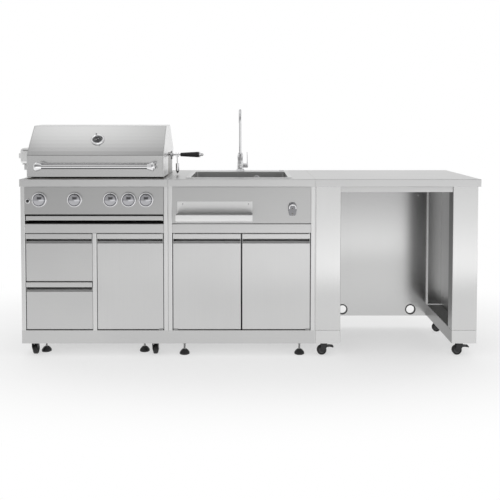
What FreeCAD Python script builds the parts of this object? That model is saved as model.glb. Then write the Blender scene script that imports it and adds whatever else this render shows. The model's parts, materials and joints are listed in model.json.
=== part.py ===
import FreeCAD, Part
import math
import os
import re

import Sketcher
from FreeCAD import Placement, Rotation, Vector

# Outdoor kitchen island: a gas grill cabinet, a sink cabinet and an open table in a row.
# Millimetres and degrees. +X runs right along the row, +Y to the back, +Z up.
# The origin is on the floor, under the centre of the island's overall box.

SIZES = {
    # Modules and counters
    "grill_wide": 752,
    "sink_wide": 752,
    "table_wide": 842,
    "counter_deep": 650,
    "counter_high": 915,
    "counter_thick": 38,
    "counter_sheet": 2,
    "sheet": 1.5,
    "front_set": 15,
    "back_set": 117,
    # Base rails and cabinet frame
    "base_low": 68,
    "base_high": 68,
    "bar_deep": 20,
    "foot_rail_high": 16,
    "fore_rail_deep": 100,
    "aft_rail_deep": 150,
    "stiffener_deep": 25,
    "post_wide": 22,
    "panel_high": 142,
    "slot_high": 49,
    "rail_high": 48,
    # Doors and drawers
    "door_gap": 2,
    "hinge_gap": 3.5,
    "meeting_gap": 8,
    "lip_deep": 16,
    "lip_high": 26,
    "lip_sheet": 2,
    "pan_deep": 18,
    "pin_radius": 3,
    "pin_set": 5,
    "pin_reach": 8,
    "pin_play": 0.05,
    "tab_wide": 24,
    "tab_thick": 3,
    "runner_wide": 12,
    "runner_high": 30,
    "slide_gap": 1,
    "seat_gap": 0.3,
    "drawer_rear_gap": 70.5,
    "drawer_wall_high": 170,
    "drawer_wall": 1.2,
    # Drip tray
    "tray_high": 24,
    "tray_rear_gap": 84,
    "tray_wall": 1.2,
    "tray_side_gap": 2,
    "ledge_wide": 12,
    "ledge_thick": 3,
    "tray_low": 16,
    # Firebox and hood
    "hood_left": 30,
    "hood_right": 22,
    "hood_set": 30,
    "hood_gap": 9,
    "hood_front_high": 112,
    "hood_slope_deep": 138,
    "hood_slope_high": 154,
    "hood_top_deep": 162,
    "hood_rear_in": 160,
    "hood_rear_drop": 130,
    "hood_rear_lip": 18,
    "hood_step_set": 206,
    "hood_sheet": 2,
    "cap_thick": 4,
    "wall_gap": 2,
    "wall_thick": 4,
    "hinge_in": 30,
    "hinge_high": 95,
    "ear_wide": 52,
    "ear_low": 18,
    "hood_pin_radius": 4,
    "handle_radius": 12,
    "handle_up": 57,
    "handle_out": 55,
    "handle_left_in": 57,
    "handle_right_in": 40,
    "flare_long": 36,
    "flare_radius": 23,
    "flare_mouth": 18,
    "flare_root": 14,
    "handle_post_radius": 8,
    "handle_post_in": 16,
    "handle_post_start": 6,
    "dial_radius": 35,
    "probe_radius": 3,
    "firebox_front": 30,
    "firebox_rear_in": 165,
    "firebox_down": 150,
    "raised_wall_high": 121,
    "raised_wall_set": 210,
    "rear_wall_in": 44,
    "rear_wall_high": 118,
    "flange_thick": 3,
    "cutout_gap": 1,
    "grease_hole": 120,
    # Rotisserie
    "spit_high": 111,
    "spit_set": 300,
    "spit_radius": 5,
    "spit_play": 0.4,
    "spit_run": 165,
    "collar_radius": 9,
    "collar_long": 16,
    "handle_start": 38,
    "handle_long": 100,
    "handle_small": 10,
    "handle_large": 15.5,
    "weight_start": 12,
    "weight_wide": 19,
    "weight_high": 42,
    "weight_reach": 104,
    "motor_out": 93,
    "motor_wide": 117,
    "motor_high": 86,
    "motor_deep": 90,
    "fork_reach": 42,
    "fork_long": 110,
    # Burners and grates
    "burner_count": 4,
    "burner_radius": 13,
    "burner_down": 95,
    "tent_wide": 110,
    "tent_high": 40,
    "tent_down": 70,
    "grate_count": 3,
    "grate_bars": 14,
    "grate_bar": 6,
    "grate_high": 9,
    "grate_down": 4,
    "rear_burner_wide": 480,
    "rear_burner_high": 70,
    # Control panel
    "panel_proud": 3,
    "panel_fold": 16,
    "knob_down": 105,
    "bezel_radius": 40,
    "bezel_deep": 9,
    "knob_radius": 28,
    "knob_deep": 26,
    "knob_grip": 14,
    "stem_radius": 4,
    "stem_long": 20,
    "stem_play": 0.1,
    "stem_gap": 2,
    "valve_radius": 12,
    "valve_long": 24,
    "manifold_radius": 8,
    "manifold_set": 30,
    "manifold_in": 60,
    "igniter_down": 112,
    "igniter_radius": 7.5,
    "igniter_play": 0.3,
    "igniter_ring": 12.5,
    "ring_deep": 5,
    "ring_lip": 2,
    "igniter_proud": 10,
    "igniter_in": 14,
    "igniter_case": 3,
    "case_long": 22,
    # Sink, faucet and bottle rail
    "bowl_shift": 13,
    "rim_wide": 554,
    "rim_set": 70,
    "rim_rear_in": 50,
    "rim_thick": 3,
    "bowl_wide": 512,
    "bowl_set": 24,
    "bowl_rear_in": 152,
    "bowl_down": 180,
    "bowl_wall": 1.5,
    "sink_cut_gap": 5,
    "drain_radius": 45,
    "drain_deep": 22,
    "tail_radius": 22,
    "tail_wall": 1.5,
    "tail_long": 70,
    "overflow_right": 95,
    "overflow_down": 35,
    "overflow_radius": 16,
    "overflow_thick": 3,
    "cover_right": 242,
    "cover_radius": 16,
    "cover_thick": 5,
    "faucet_rear_in": 92,
    "faucet_radius": 21,
    "faucet_high": 100,
    "riser_radius": 8,
    "swivel_play": 0.1,
    "riser_high": 192,
    "neck_reach": 60,
    "spout_drop": 10,
    "nozzle_radius": 11,
    "nozzle_long": 27,
    "lever_high": 62,
    "lever_long": 78,
    "apron_set": 3,
    "rail_left": 48,
    "rail_wide": 384,
    "rail_deep": 92,
    "rail_down": 210,
    "rail_plate_high": 96,
    "rail_wall_high": 39,
    "rail_sheet": 2,
    "opener_right": 116,
    "opener_down": 153,
    "opener_wide": 44,
    "opener_tall": 68,
    "opener_thick": 5,
    # Table
    "leg_wide": 128,
    "leg_left_set": 3,
    "leg_right_set": 10,
    "leg_front_fold": 70,
    "leg_rear_fold": 28,
    "table_rail_high": 30,
    "table_rail_set": 6,
    "back_thick": 12,
    "cable_radius": 25,
    "cable_left": 209,
    "cable_right_in": 234,
    "cable_high": 37,
    "grommet_lip": 1.5,
    # Feet and casters
    "caster_front": 50,
    "caster_rear_in": 200,
    "foot_front": 106,
    "foot_rear_in": 256,
    "caster_left_in": 58,
    "caster_right_in": 71,
    "foot_left_in": 100,
    "foot_right_in": 135,
    "sink_foot_left_in": 79,
    "sink_foot_right_in": 76,
    "sink_foot_front": 62,
    "sink_foot_rear_in": 213,
    "leg_caster_in": 50,
    "wheel_radius": 25,
    "wheel_wide": 24,
    "wheel_trail": 14,
    "axle_radius": 3,
    "fork_sheet": 2.5,
    "fork_gap": 1,
    "plate_wide": 46,
    "plate_thick": 3,
    "kingpin_radius": 5,
    "pedal_ahead": 23,
    "pedal_rise": 22,
    "pedal_reach": 47,
    "pedal_pin_radius": 2,
    "pad_radius": 26,
    "pad_thick": 8,
    "cup_radius": 20,
    "rod_radius": 5,
    "cup_high": 24,
}

# Places worked out from the driving dimensions
PLACES = {
    "x_grill": "(motor_out - grill_wide - sink_wide - table_wide) / 2",
    "x_sink": "x_grill + grill_wide",
    "x_table": "x_sink + sink_wide",
    "x_end": "x_table + table_wide",
    "y_front": "(rail_deep - front_set - apron_set - counter_deep) / 2",
    "y_rear": "y_front + counter_deep",
    "y_face": "y_front + front_set",
    "y_back": "y_rear - back_set",
    "y_inner": "y_face + bar_deep",
    "y_pan": "y_face + lip_deep + pan_deep",
    "z_under": "counter_high - counter_thick",
    "z_base": "base_low + base_high",
    "z_panel": "z_under - panel_high",
    "z_rail": "z_panel - slot_high",
    "z_door": "z_rail - rail_high",
    # Grill cabinet: posts and the two openings
    "x_mid_low": "x_grill + grill_wide / 2 - post_wide / 2",
    "x_mid_high": "x_grill + grill_wide / 2 + post_wide / 2",
    "x_open_low": "x_grill + post_wide",
    "x_open_high": "x_sink - post_wide",
    # Hood and firebox
    "x_hood": "x_grill + hood_left",
    "x_hood_end": "x_sink - hood_right",
    "x_wall": "x_hood + cap_thick + wall_gap",
    "x_wall_end": "x_hood_end - cap_thick - wall_gap",
    "y_hood": "y_front + hood_set",
    "y_crest": "y_hood + hood_slope_deep",
    "y_top": "y_crest + hood_top_deep",
    "y_hood_end": "y_rear - hood_rear_in",
    "z_hood": "counter_high + hood_gap",
    "z_crease": "z_hood + hood_front_high",
    "z_crown": "z_crease + hood_slope_high",
    "z_shoulder": "z_crown - hood_rear_drop",
    "z_step": "z_shoulder - hood_rear_lip",
    "y_step": "y_hood + hood_step_set",
    "y_hinge": "y_hood_end - hinge_in",
    "z_hinge": "counter_high + hinge_high",
    "y_box": "y_hood + firebox_front",
    "y_box_end": "y_rear - firebox_rear_in",
    "z_box": "counter_high - firebox_down",
    "y_rear_wall": "y_box_end - rear_wall_in",
    "z_spit": "counter_high + spit_high",
    "y_spit": "y_front + spit_set",
    "slope_angle": "atan(hood_slope_high / hood_slope_deep)",
    "rear_angle": "atan(hood_rear_drop / (y_hood_end - y_top))",
    "y_handle": "y_hood - handle_out",
    "z_handle": "z_hood + handle_up",
    "x_handle": "x_hood + handle_left_in",
    "x_handle_end": "x_hood_end - handle_right_in",
    # Controls
    "y_panel": "y_face - panel_proud",
    "z_knob": "counter_high - knob_down",
    "z_igniter": "counter_high - igniter_down",
    # Sink
    "x_bowl_mid": "x_sink + sink_wide / 2 - bowl_shift",
    "y_rim": "y_front + rim_set",
    "y_rim_end": "y_rear - rim_rear_in",
    "y_bowl": "y_rim + bowl_set",
    "y_bowl_end": "y_rear - bowl_rear_in",
    "z_bowl": "counter_high - bowl_down",
    "y_apron": "y_face + apron_set",
    "y_faucet": "y_rear - faucet_rear_in",
    "z_deck": "counter_high + rim_thick",
    "z_spout": "z_deck + faucet_high",
    "z_lever": "z_deck + lever_high / 2",
    "z_trough": "counter_high - rail_down",
    "x_opener": "x_table - opener_right",
    "z_opener": "counter_high - opener_down",
    # Table
    "x_leg": "x_table + leg_left_set",
    "x_leg_end": "x_leg + leg_wide",
    "x_leg_far": "x_end - leg_right_set - leg_wide",
    "x_leg_far_end": "x_end - leg_right_set",
    "z_cable": "base_low + cable_high",
    # Brake pedals
    "z_pedal": "wheel_radius + pedal_rise",
}

# Shares of the grill cabinet's width at which the igniter and the knobs sit
IGNITER_SHARE = 0.0519
KNOB_SHARES = (0.1303, 0.3697, 0.6130, 0.7354, 0.8537)

doc = FreeCAD.newDocument("Island")
nodes = []


def fill_sheet(name, values):
    """A spreadsheet with one aliased cell for each named value."""
    sheet = doc.addObject("Spreadsheet::Sheet", name)
    for row, (alias, value) in enumerate(values.items(), start=1):
        sheet.set(f"A{row}", alias)
        sheet.set(f"B{row}", str(value))
        sheet.setAlias(f"B{row}", alias)
    doc.recompute()
    return sheet


def cells(text):
    """The expression with each named value written as its spreadsheet cell."""
    def cell(match):
        word = match.group(0)
        if word in SIZES:
            return "Sizes." + word
        if word in PLACES:
            return "Places." + word
        return word
    return re.sub(r"[a-z_]+", cell, str(text))


sizes = fill_sheet("Sizes", SIZES)
places = fill_sheet("Places", {name: "=" + cells(text) for name, text in PLACES.items()})

TURNS = {
    "Z": Rotation(),
    "X": Rotation(Vector(0, 1, 0), 90),
    "Y": Rotation(Vector(1, 0, 0), -90),
    "-Z": Rotation(Vector(1, 0, 0), 180),
    "-X": Rotation(Vector(0, 1, 0), -90),
    "-Y": Rotation(Vector(1, 0, 0), 90),
}


def put(piece, at, turn="Z"):
    """Turn a piece so its own Z runs along an axis, and bind its place to expressions."""
    piece.Placement = Placement(Vector(), TURNS[turn])
    for axis, text in zip("xyz", at):
        piece.setExpression("Placement.Base." + axis, cells(text))
    return piece


def box(name, x, y, z):
    """A block between a low and a high expression on each axis."""
    piece = doc.addObject("Part::Box", name)
    for size, (low, high) in zip(("Length", "Width", "Height"), (x, y, z)):
        piece.setExpression(size, cells(f"({high}) - ({low})"))
    return put(piece, (x[0], y[0], z[0]))


def drum(name, turn, at, radius, length):
    """A cylinder that starts at a point and runs along an axis."""
    piece = doc.addObject("Part::Cylinder", name)
    piece.setExpression("Radius", cells(radius))
    piece.setExpression("Height", cells(length))
    return put(piece, at, turn)


def cone(name, turn, at, start_radius, end_radius, length):
    """A cone that starts at a point and runs along an axis."""
    piece = doc.addObject("Part::Cone", name)
    piece.setExpression("Radius1", cells(start_radius))
    piece.setExpression("Radius2", cells(end_radius))
    piece.setExpression("Height", cells(length))
    return put(piece, at, turn)


def fuse(name, pieces):
    """One solid from touching pieces."""
    joined = doc.addObject("Part::MultiFuse", name)
    joined.Shapes = list(pieces)
    joined.Refine = True
    return joined


def cut(name, base, tools):
    """The base with each tool taken away."""
    tool = tools[0] if len(tools) == 1 else fuse(name + "_tools", tools)
    rest = doc.addObject("Part::Cut", name)
    rest.Base = base
    rest.Tool = tool
    return rest


def node(label, *pieces):
    """Name a sub-part; separate solids are grouped."""
    if len(pieces) == 1:
        part = pieces[0]
    else:
        part = doc.addObject("Part::Compound", label + "_group")
        part.Links = list(pieces)
    part.Label = label
    nodes.append(part)
    return part


def outline(body, plane, points):
    """A closed sketch of straight lines on one of the body's own planes."""
    face = next(item for item in body.Origin.OriginFeatures if item.Role == plane)
    sketch = body.newObject("Sketcher::SketchObject", body.Name + "_outline")
    sketch.AttachmentSupport = [(face, "")]
    sketch.MapMode = "FlatFace"
    count = len(points)
    rough = [Vector(math.cos(k * math.tau / count), math.sin(k * math.tau / count), 0) * 10
             for k in range(count)]
    for k in range(count):
        sketch.addGeometry(Part.LineSegment(rough[k], rough[(k + 1) % count]), False)
    for k in range(count):
        sketch.addConstraint(Sketcher.Constraint("Coincident", k, 2, (k + 1) % count, 1))
    for k, (across, up) in enumerate(points):
        for kind, value, text in (("DistanceX", rough[k].x, across), ("DistanceY", rough[k].y, up)):
            number = sketch.addConstraint(Sketcher.Constraint(kind, -1, 1, k, 1, value))
            sketch.setExpression(f"Constraints[{number}]", cells(text))
    return sketch


def profile_bar(name, x, points):
    """A prism along X whose outline is given as (y, z) expressions."""
    body = doc.addObject("PartDesign::Body", name)
    sketch = outline(body, "YZ_Plane", points)
    pad = body.newObject("PartDesign::Pad", name + "_pad")
    pad.Profile = sketch
    pad.setExpression("Length", cells(f"({x[1]}) - ({x[0]})"))
    return put(body, (x[0], "0", "0"))


def turned(name, turn, at, points):
    """A lathe-turned solid: its outline is (radius, height) along the axis from a point."""
    body = doc.addObject("PartDesign::Body", name)
    sketch = outline(body, "XZ_Plane", points)
    spin = body.newObject("PartDesign::Revolution", name + "_spin")
    spin.Profile = sketch
    spin.ReferenceAxis = (sketch, ["V_Axis"])
    spin.Angle = 360
    return put(body, at, turn)


def bar(name, x, y, z, along):
    """A square tube of sheet thickness, open at its two ends."""
    spans = {"x": x, "y": y, "z": z}
    inner = {axis: (f"{low} + sheet", f"{high} - sheet") for axis, (low, high) in spans.items()}
    inner[along] = (f"{spans[along][0]} - 1", f"{spans[along][1]} + 1")
    return cut(name, box(name + "_outer", x, y, z), [box(name + "_bore", inner["x"], inner["y"], inner["z"])])


# Base rails under a cabinet, with cross rails that take the feet
def base_frame(name, x_low, x_high):
    """Four perimeter tubes and two low cross rails."""
    z = ("base_low", "z_base")
    low = ("base_low", "base_low + foot_rail_high")
    inner = (f"{x_low} + bar_deep", f"{x_high} - bar_deep")
    return [
        bar(name + "_front", (x_low, x_high), ("y_face", "y_inner"), z, "x"),
        bar(name + "_back", (x_low, x_high), ("y_back - bar_deep", "y_back"), z, "x"),
        bar(name + "_left", (x_low, inner[0]), ("y_inner", "y_back - bar_deep"), z, "y"),
        bar(name + "_right", (inner[1], x_high), ("y_inner", "y_back - bar_deep"), z, "y"),
        bar(name + "_fore", inner, ("y_inner", "y_inner + fore_rail_deep"), low, "x"),
        bar(name + "_aft", inner, ("y_back - bar_deep - aft_rail_deep", "y_back - bar_deep"), low, "x"),
    ]


def drilled(piece, holes):
    """A tube with pin holes through it."""
    return cut(piece.Name + "_drilled", piece, holes)


def pin_hole(name, x, z):
    """The running hole of a door pin, one wall deep on each side of z."""
    return drum(name, "Z", (x, "y_face + pin_set", f"{z} - 3"), "pin_radius + pin_play", "6")


def panels(name, x_low, x_high):
    """Side, back and floor sheets of a cabinet."""
    side_y = ("y_inner", "y_back - sheet")
    side_z = ("z_base", "z_under")
    return [
        box(name + "_side_l", (x_low, f"{x_low} + sheet"), side_y, side_z),
        box(name + "_side_r", (f"{x_high} - sheet", x_high), side_y, side_z),
        box(name + "_rear", (x_low, x_high), ("y_back - sheet", "y_back"), side_z),
        box(name + "_floor", (f"{x_low} + bar_deep", f"{x_high} - bar_deep"),
            ("y_inner", "y_back - bar_deep"), ("z_base - sheet", "z_base")),
    ]


# Grill cabinet
grill_pin_x = "x_open_high - hinge_gap - pin_set"
grill_base = base_frame("grill_base", "x_grill", "x_sink")
grill_base[0] = drilled(grill_base[0], [pin_hole("grill_low_hole", grill_pin_x, "z_base")])
grill_panels = panels("grill", "x_grill", "x_sink")
grill_panels += [
    box("grill_partition", ("x_grill + grill_wide / 2 - sheet / 2", "x_grill + grill_wide / 2 + sheet / 2"),
        ("y_inner", "y_back - sheet"), ("z_base", "z_rail - sheet")),
    box("grill_shelf", ("x_grill + sheet", "x_sink - sheet"), ("y_inner", "y_back - sheet"),
        ("z_rail - sheet", "z_rail")),
]
runner_rows = {
    "lower": "z_base + door_gap + 60",
    "upper": "(z_base + z_door) / 2 + door_gap / 2 + 60",
}
for row, z in runner_rows.items():
    for side, x in (("l", ("x_grill + sheet", "x_open_low + runner_wide")),
                    ("r", ("x_mid_low - runner_wide", "x_grill + grill_wide / 2 - sheet / 2"))):
        grill_panels.append(bar(f"{row}_runner_{side}", x, ("y_pan + slide_gap", "y_back - sheet"),
                                (z, f"{z} + runner_high"), "y"))
for side, x in (("l", ("x_grill + sheet", "x_open_low + ledge_wide")),
                ("r", ("x_open_high - ledge_wide", "x_sink - sheet"))):
    grill_panels.append(box(f"tray_ledge_{side}", x, ("y_inner", "y_back - sheet"),
                            ("z_rail + tray_low - ledge_thick", "z_rail + tray_low")))
node("grill_carcass", *grill_base, *grill_panels)

post_z = ("z_base", "z_under")
face_y = ("y_face", "y_inner")
grill_rail = bar("grill_rail", ("x_open_low", "x_open_high"), face_y, ("z_door", "z_rail"), "x")
node("grill_front_frame",
     bar("grill_post_l", ("x_grill", "x_open_low"), face_y, post_z, "z"),
     bar("grill_post_r", ("x_open_high", "x_sink"), face_y, post_z, "z"),
     bar("grill_post_m", ("x_mid_low", "x_mid_high"), face_y, ("z_base", "z_door"), "z"),
     drilled(grill_rail, [pin_hole("grill_high_hole", grill_pin_x, "z_door")]))


# Doors and drawer fronts: a recessed pan with a folded finger lip along the top
def front_pan(name, x, z):
    """The sheets of a door or drawer front, to be joined."""
    x_low, x_high = x
    z_low, z_high = z
    face = "y_face + lip_deep"
    deep = (face, f"{face} + pan_deep")
    return [
        box(name + "_face", x, (face, f"{face} + sheet"), z),
        box(name + "_left", (x_low, f"{x_low} + sheet"), deep, z),
        box(name + "_right", (f"{x_high} - sheet", x_high), deep, z),
        box(name + "_bottom", x, deep, (z_low, f"{z_low} + sheet")),
        box(name + "_top", x, ("y_face", f"{face} + pan_deep"), (f"{z_high} - sheet", z_high)),
        box(name + "_lip", x, ("y_face", "y_face + lip_sheet"), (f"{z_high} - lip_high", z_high)),
    ]


def door(name, x, hinge):
    """A door with pivot pins at the top and bottom of its hinge edge."""
    z = ("z_base + door_gap", "z_door - door_gap")
    edge = x[0] if hinge == "left" else x[1]
    sign = "+" if hinge == "left" else "-"
    pin_x = f"{edge} {sign} pin_set"
    tab = (edge, f"{edge} + tab_wide") if hinge == "left" else (f"{edge} - tab_wide", edge)
    pieces = front_pan(name, x, z)
    pieces += [
        box(name + "_tab", tab, ("y_face", "y_face + lip_deep + sheet"), (z[0], f"{z[0]} + tab_thick")),
        drum(name + "_pin_low", "Z", (pin_x, "y_face + pin_set", f"{z[0]} - door_gap - pin_reach"),
             "pin_radius", "door_gap + pin_reach + tab_thick"),
        drum(name + "_pin_high", "Z", (pin_x, "y_face + pin_set", f"{z[1]} - sheet"),
             "pin_radius", "door_gap + pin_reach + sheet"),
    ]
    node(name, fuse(name + "_body", pieces))


door("grill_door", ("x_mid_high + door_gap", "x_open_high - hinge_gap"), "right")


def drawer(name, z, runner_z):
    """A front pan with an open box behind it, which hangs on the cabinet's runners."""
    x = ("x_open_low + door_gap", "x_mid_low - door_gap")
    low, high = "x_open_low + runner_wide + slide_gap", "x_mid_low - runner_wide - slide_gap"
    start = "y_face + lip_deep + sheet"
    end = "y_back - drawer_rear_gap"
    wall_z = (f"{z[0]} + 20", f"{z[0]} + 20 + drawer_wall_high")
    pieces = front_pan(name, x, z)
    pieces += [
        box(name + "_box_l", (low, f"{low} + drawer_wall"), (start, end), wall_z),
        box(name + "_box_r", (f"{high} - drawer_wall", high), (start, end), wall_z),
        box(name + "_box_end", (low, high), (f"{end} - drawer_wall", end), wall_z),
        box(name + "_box_floor", (low, high), (start, end), (wall_z[0], f"{wall_z[0]} + drawer_wall")),
    ]
    slide_z = (f"{runner_z} + runner_high + seat_gap", f"{runner_z} + runner_high + seat_gap + 4")
    slide_y = ("y_pan + slide_gap", end)
    pieces += [
        box(name + "_slide_l", ("x_open_low + 2", f"{low} + drawer_wall"), slide_y, slide_z),
        box(name + "_slide_r", (f"{high} - drawer_wall", "x_mid_low - 2"), slide_y, slide_z),
    ]
    node(name, fuse(name + "_body", pieces))


drawer("lower_drawer", ("z_base + door_gap", "(z_base + z_door) / 2 - door_gap / 2"), runner_rows["lower"])
drawer("upper_drawer", ("(z_base + z_door) / 2 + door_gap / 2", "z_door - door_gap"), runner_rows["upper"])

# Drip tray on its two ledges, in the slot under the control panel
tray_x = ("x_open_low + tray_side_gap", "x_open_high - tray_side_gap")
tray_y = ("y_face + 4", "y_back - tray_rear_gap")
tray_z = ("z_rail + tray_low + seat_gap", "z_rail + tray_low + seat_gap + tray_high")
node("drip_tray", cut(
    "tray_shell", box("tray_block", tray_x, tray_y, tray_z),
    [box("tray_hollow", (f"{tray_x[0]} + tray_wall", f"{tray_x[1]} - tray_wall"),
         (f"{tray_y[0]} + tray_wall", f"{tray_y[1]} - tray_wall"), (f"{tray_z[0]} + tray_wall", f"{tray_z[1]} + 1"))]))


# Counters: top sheets with a folded edge all round
def ring(name, x, y, hole_x, hole_y, z):
    """Four flat pieces round a rectangular hole."""
    return [
        box(name + "_front", x, (y[0], hole_y[0]), z),
        box(name + "_rear", x, (hole_y[1], y[1]), z),
        box(name + "_left", (x[0], hole_x[0]), hole_y, z),
        box(name + "_right", (hole_x[1], x[1]), hole_y, z),
    ]


def counter(label, x, cutout=None):
    """A counter on two stiffener tubes, with any cut-out given as (x, y) spans."""
    y = ("y_front", "y_rear")
    top_z = ("counter_high - counter_sheet", "counter_high")
    edge_z = ("z_under", "counter_high - counter_sheet")
    inside_x = (f"{x[0]} + counter_sheet", f"{x[1]} - counter_sheet")
    inside_y = ("y_front + counter_sheet", "y_rear - counter_sheet")
    tops = ring(label + "_top", x, y, *cutout, top_z) if cutout else [box(label + "_top", x, y, top_z)]
    node(label, *tops, *ring(label + "_edge", x, y, inside_x, inside_y, edge_z),
         bar(label + "_stiffener_front", inside_x, ("y_face", "y_face + stiffener_deep"), edge_z, "x"),
         bar(label + "_stiffener_rear", inside_x, ("y_back - stiffener_deep", "y_back"), edge_z, "x"))


counter("grill_counter", ("x_grill", "x_sink"),
        (("x_wall - cutout_gap", "x_wall_end + cutout_gap"), ("y_box - cutout_gap", "y_box_end + cutout_gap")))
counter("sink_counter", ("x_sink", "x_table"),
        (("x_bowl_mid - bowl_wide / 2 - sink_cut_gap", "x_bowl_mid + bowl_wide / 2 + sink_cut_gap"),
         ("y_bowl - sink_cut_gap", "y_bowl_end + sink_cut_gap")))
counter("table_counter", ("x_table", "x_end"))


# Firebox: side walls that rise at the rear and carry the hood, the spit and the rear burner
def side_wall(name, x):
    """A side wall with a notch for the spit and a hole for the hood pin."""
    plate = profile_bar(name + "_plate", x, [
        ("y_box", "z_box"),
        ("y_box_end", "z_box"),
        ("y_box_end", "counter_high + raised_wall_high"),
        ("y_box + raised_wall_set", "counter_high + raised_wall_high"),
        ("y_box + raised_wall_set", "counter_high + flange_thick"),
        ("y_box", "counter_high + flange_thick"),
    ])
    play = "spit_radius + spit_play"
    across = (f"{x[0]} - 1", f"{x[1]} + 1")
    length = f"({across[1]}) - ({across[0]})"
    notch = box(name + "_notch", across, (f"y_spit - ({play})", f"y_spit + {play}"),
                ("z_spit", "counter_high + raised_wall_high + 1"))
    seat = drum(name + "_seat", "X", (across[0], "y_spit", "z_spit"), play, length)
    hole = drum(name + "_hole", "X", (across[0], "y_hinge", "z_hinge"), "hood_pin_radius + pin_play", length)
    return cut(name, plate, [notch, seat, hole])


inner_x = ("x_wall + wall_thick", "x_wall_end - wall_thick")
floor_plate = box("firebox_floor_plate", inner_x, ("y_box + wall_thick", "y_rear_wall"),
                  ("z_box", "z_box + flange_thick"))
grease_x = ("(x_wall + x_wall_end - grease_hole) / 2", "(x_wall + x_wall_end + grease_hole) / 2")
grease_y = ("(y_box + y_rear_wall - grease_hole) / 2", "(y_box + y_rear_wall + grease_hole) / 2")
flange_z = ("counter_high", "counter_high + flange_thick")
ledge_z = ("counter_high - grate_down - grate_high - ledge_thick", "counter_high - grate_down - grate_high")
node("firebox",
     side_wall("firebox_left", ("x_wall", "x_wall + wall_thick")),
     side_wall("firebox_right", ("x_wall_end - wall_thick", "x_wall_end")),
     box("firebox_front", inner_x, ("y_box", "y_box + wall_thick"), ("z_box", flange_z[1])),
     box("firebox_rear", inner_x, ("y_rear_wall", "y_rear_wall + wall_thick"),
         ("z_box", "counter_high + rear_wall_high")),
     box("grate_ledge_front", inner_x, ("y_box + wall_thick", "y_box + wall_thick + ledge_wide"), ledge_z),
     box("grate_ledge_rear", inner_x, ("y_rear_wall - 2 * ledge_wide", "y_rear_wall"), ledge_z),
     cut("firebox_floor", floor_plate,
         [box("grease_cut", grease_x, grease_y, ("z_box - 1", "z_box + flange_thick + 1"))]),
     box("firebox_flange_front", ("x_hood", "x_hood_end"), ("y_hood + 4", "y_box"), flange_z),
     box("firebox_flange_l", ("x_hood + 2", "x_wall"), ("y_box", "y_box_end"), flange_z),
     box("firebox_flange_r", ("x_wall_end", "x_hood_end - 2"), ("y_box", "y_box_end"), flange_z))

# Burners, heat tents and cooking grates inside the firebox
burner_pieces = []
tent_pieces = []
for k in range(SIZES["burner_count"]):
    centre = f"x_wall + (x_wall_end - x_wall) * {2 * k + 1} / (2 * burner_count)"
    burner_pieces.append(drum(f"burner_{k}", "Y", (centre, "y_box + wall_thick", "counter_high - burner_down"),
                              "burner_radius", "y_rear_wall - y_box - wall_thick"))
    tent_low = "counter_high - tent_down"
    tent_pieces.append(profile_bar(f"tent_{k}", ("0", "y_rear_wall - y_box - wall_thick"), [
        ("-tent_wide / 2", "0"),
        ("0", "tent_high"),
        ("tent_wide / 2", "0"),
        ("tent_wide / 2 - 3", "0"),
        ("0", "tent_high - 3"),
        ("3 - tent_wide / 2", "0"),
    ]))
    put(tent_pieces[-1], (centre, "y_box + wall_thick", tent_low))
    tent_pieces[-1].Placement = Placement(tent_pieces[-1].Placement.Base, Rotation(Vector(0, 0, 1), 90))
rear_mid = "(x_wall + x_wall_end) / 2"
burner_pieces.append(box(
    "rear_burner", (f"{rear_mid} - rear_burner_wide / 2", f"{rear_mid} + rear_burner_wide / 2"),
    ("y_rear_wall - 14", "y_rear_wall"),
    ("counter_high + rear_wall_high - 12 - rear_burner_high", "counter_high + rear_wall_high - 12")))
node("burners_and_tents", *burner_pieces, *tent_pieces)

grates = []
for k in range(SIZES["grate_count"]):
    low = f"x_wall + wall_thick + (x_wall_end - x_wall - 2 * wall_thick) * {k} / grate_count + 1"
    high = f"x_wall + wall_thick + (x_wall_end - x_wall - 2 * wall_thick) * {k + 1} / grate_count - 1"
    y = ("y_box + wall_thick + 1", "y_rear_wall - 15")
    z = ("counter_high - grate_down - grate_high", "counter_high - grate_down")
    bars = [
        box(f"grate_{k}_front", (low, high), (y[0], f"{y[0]} + grate_bar"), z),
        box(f"grate_{k}_rear", (low, high), (f"{y[1]} - grate_bar", y[1]), z),
    ]
    for number in range(SIZES["grate_bars"]):
        left = f"{low} + ({high} - ({low}) - grate_bar) * {number} / (grate_bars - 1)"
        bars.append(box(f"grate_{k}_bar_{number}", (left, f"{left} + grate_bar"), y, z))
    grates.append(fuse(f"grate_{k}", bars))
node("cooking_grates", *grates)

# Control panel with its bezels, knobs, valves and manifold
panel_x = ("x_open_low", "x_open_high")
panel_z = ("z_panel", "z_under - 2")
panel_hollow = box("panel_hollow", (f"{panel_x[0]} + sheet", f"{panel_x[1]} - sheet"),
                   ("y_panel + sheet", "y_panel + panel_fold + 1"),
                   (f"{panel_z[0]} + sheet", f"{panel_z[1]} - sheet"))
knob_spots = [f"x_grill + grill_wide * {share}" for share in KNOB_SHARES]
igniter_x = f"x_grill + grill_wide * {IGNITER_SHARE}"
panel_holes = [drum(f"stem_hole_{k}", "Y", (x, "y_panel - 1", "z_knob"), "stem_radius + stem_gap", "sheet + 2")
               for k, x in enumerate(knob_spots)]
panel_holes.append(drum("igniter_hole", "Y", (igniter_x, "y_panel - 1", "z_igniter"),
                        "igniter_radius + stem_gap / 2", "sheet + 2"))
node("control_panel", cut("panel_shell", box("panel_block", panel_x, ("y_panel", "y_panel + panel_fold"), panel_z),
                          [panel_hollow] + panel_holes))

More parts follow.
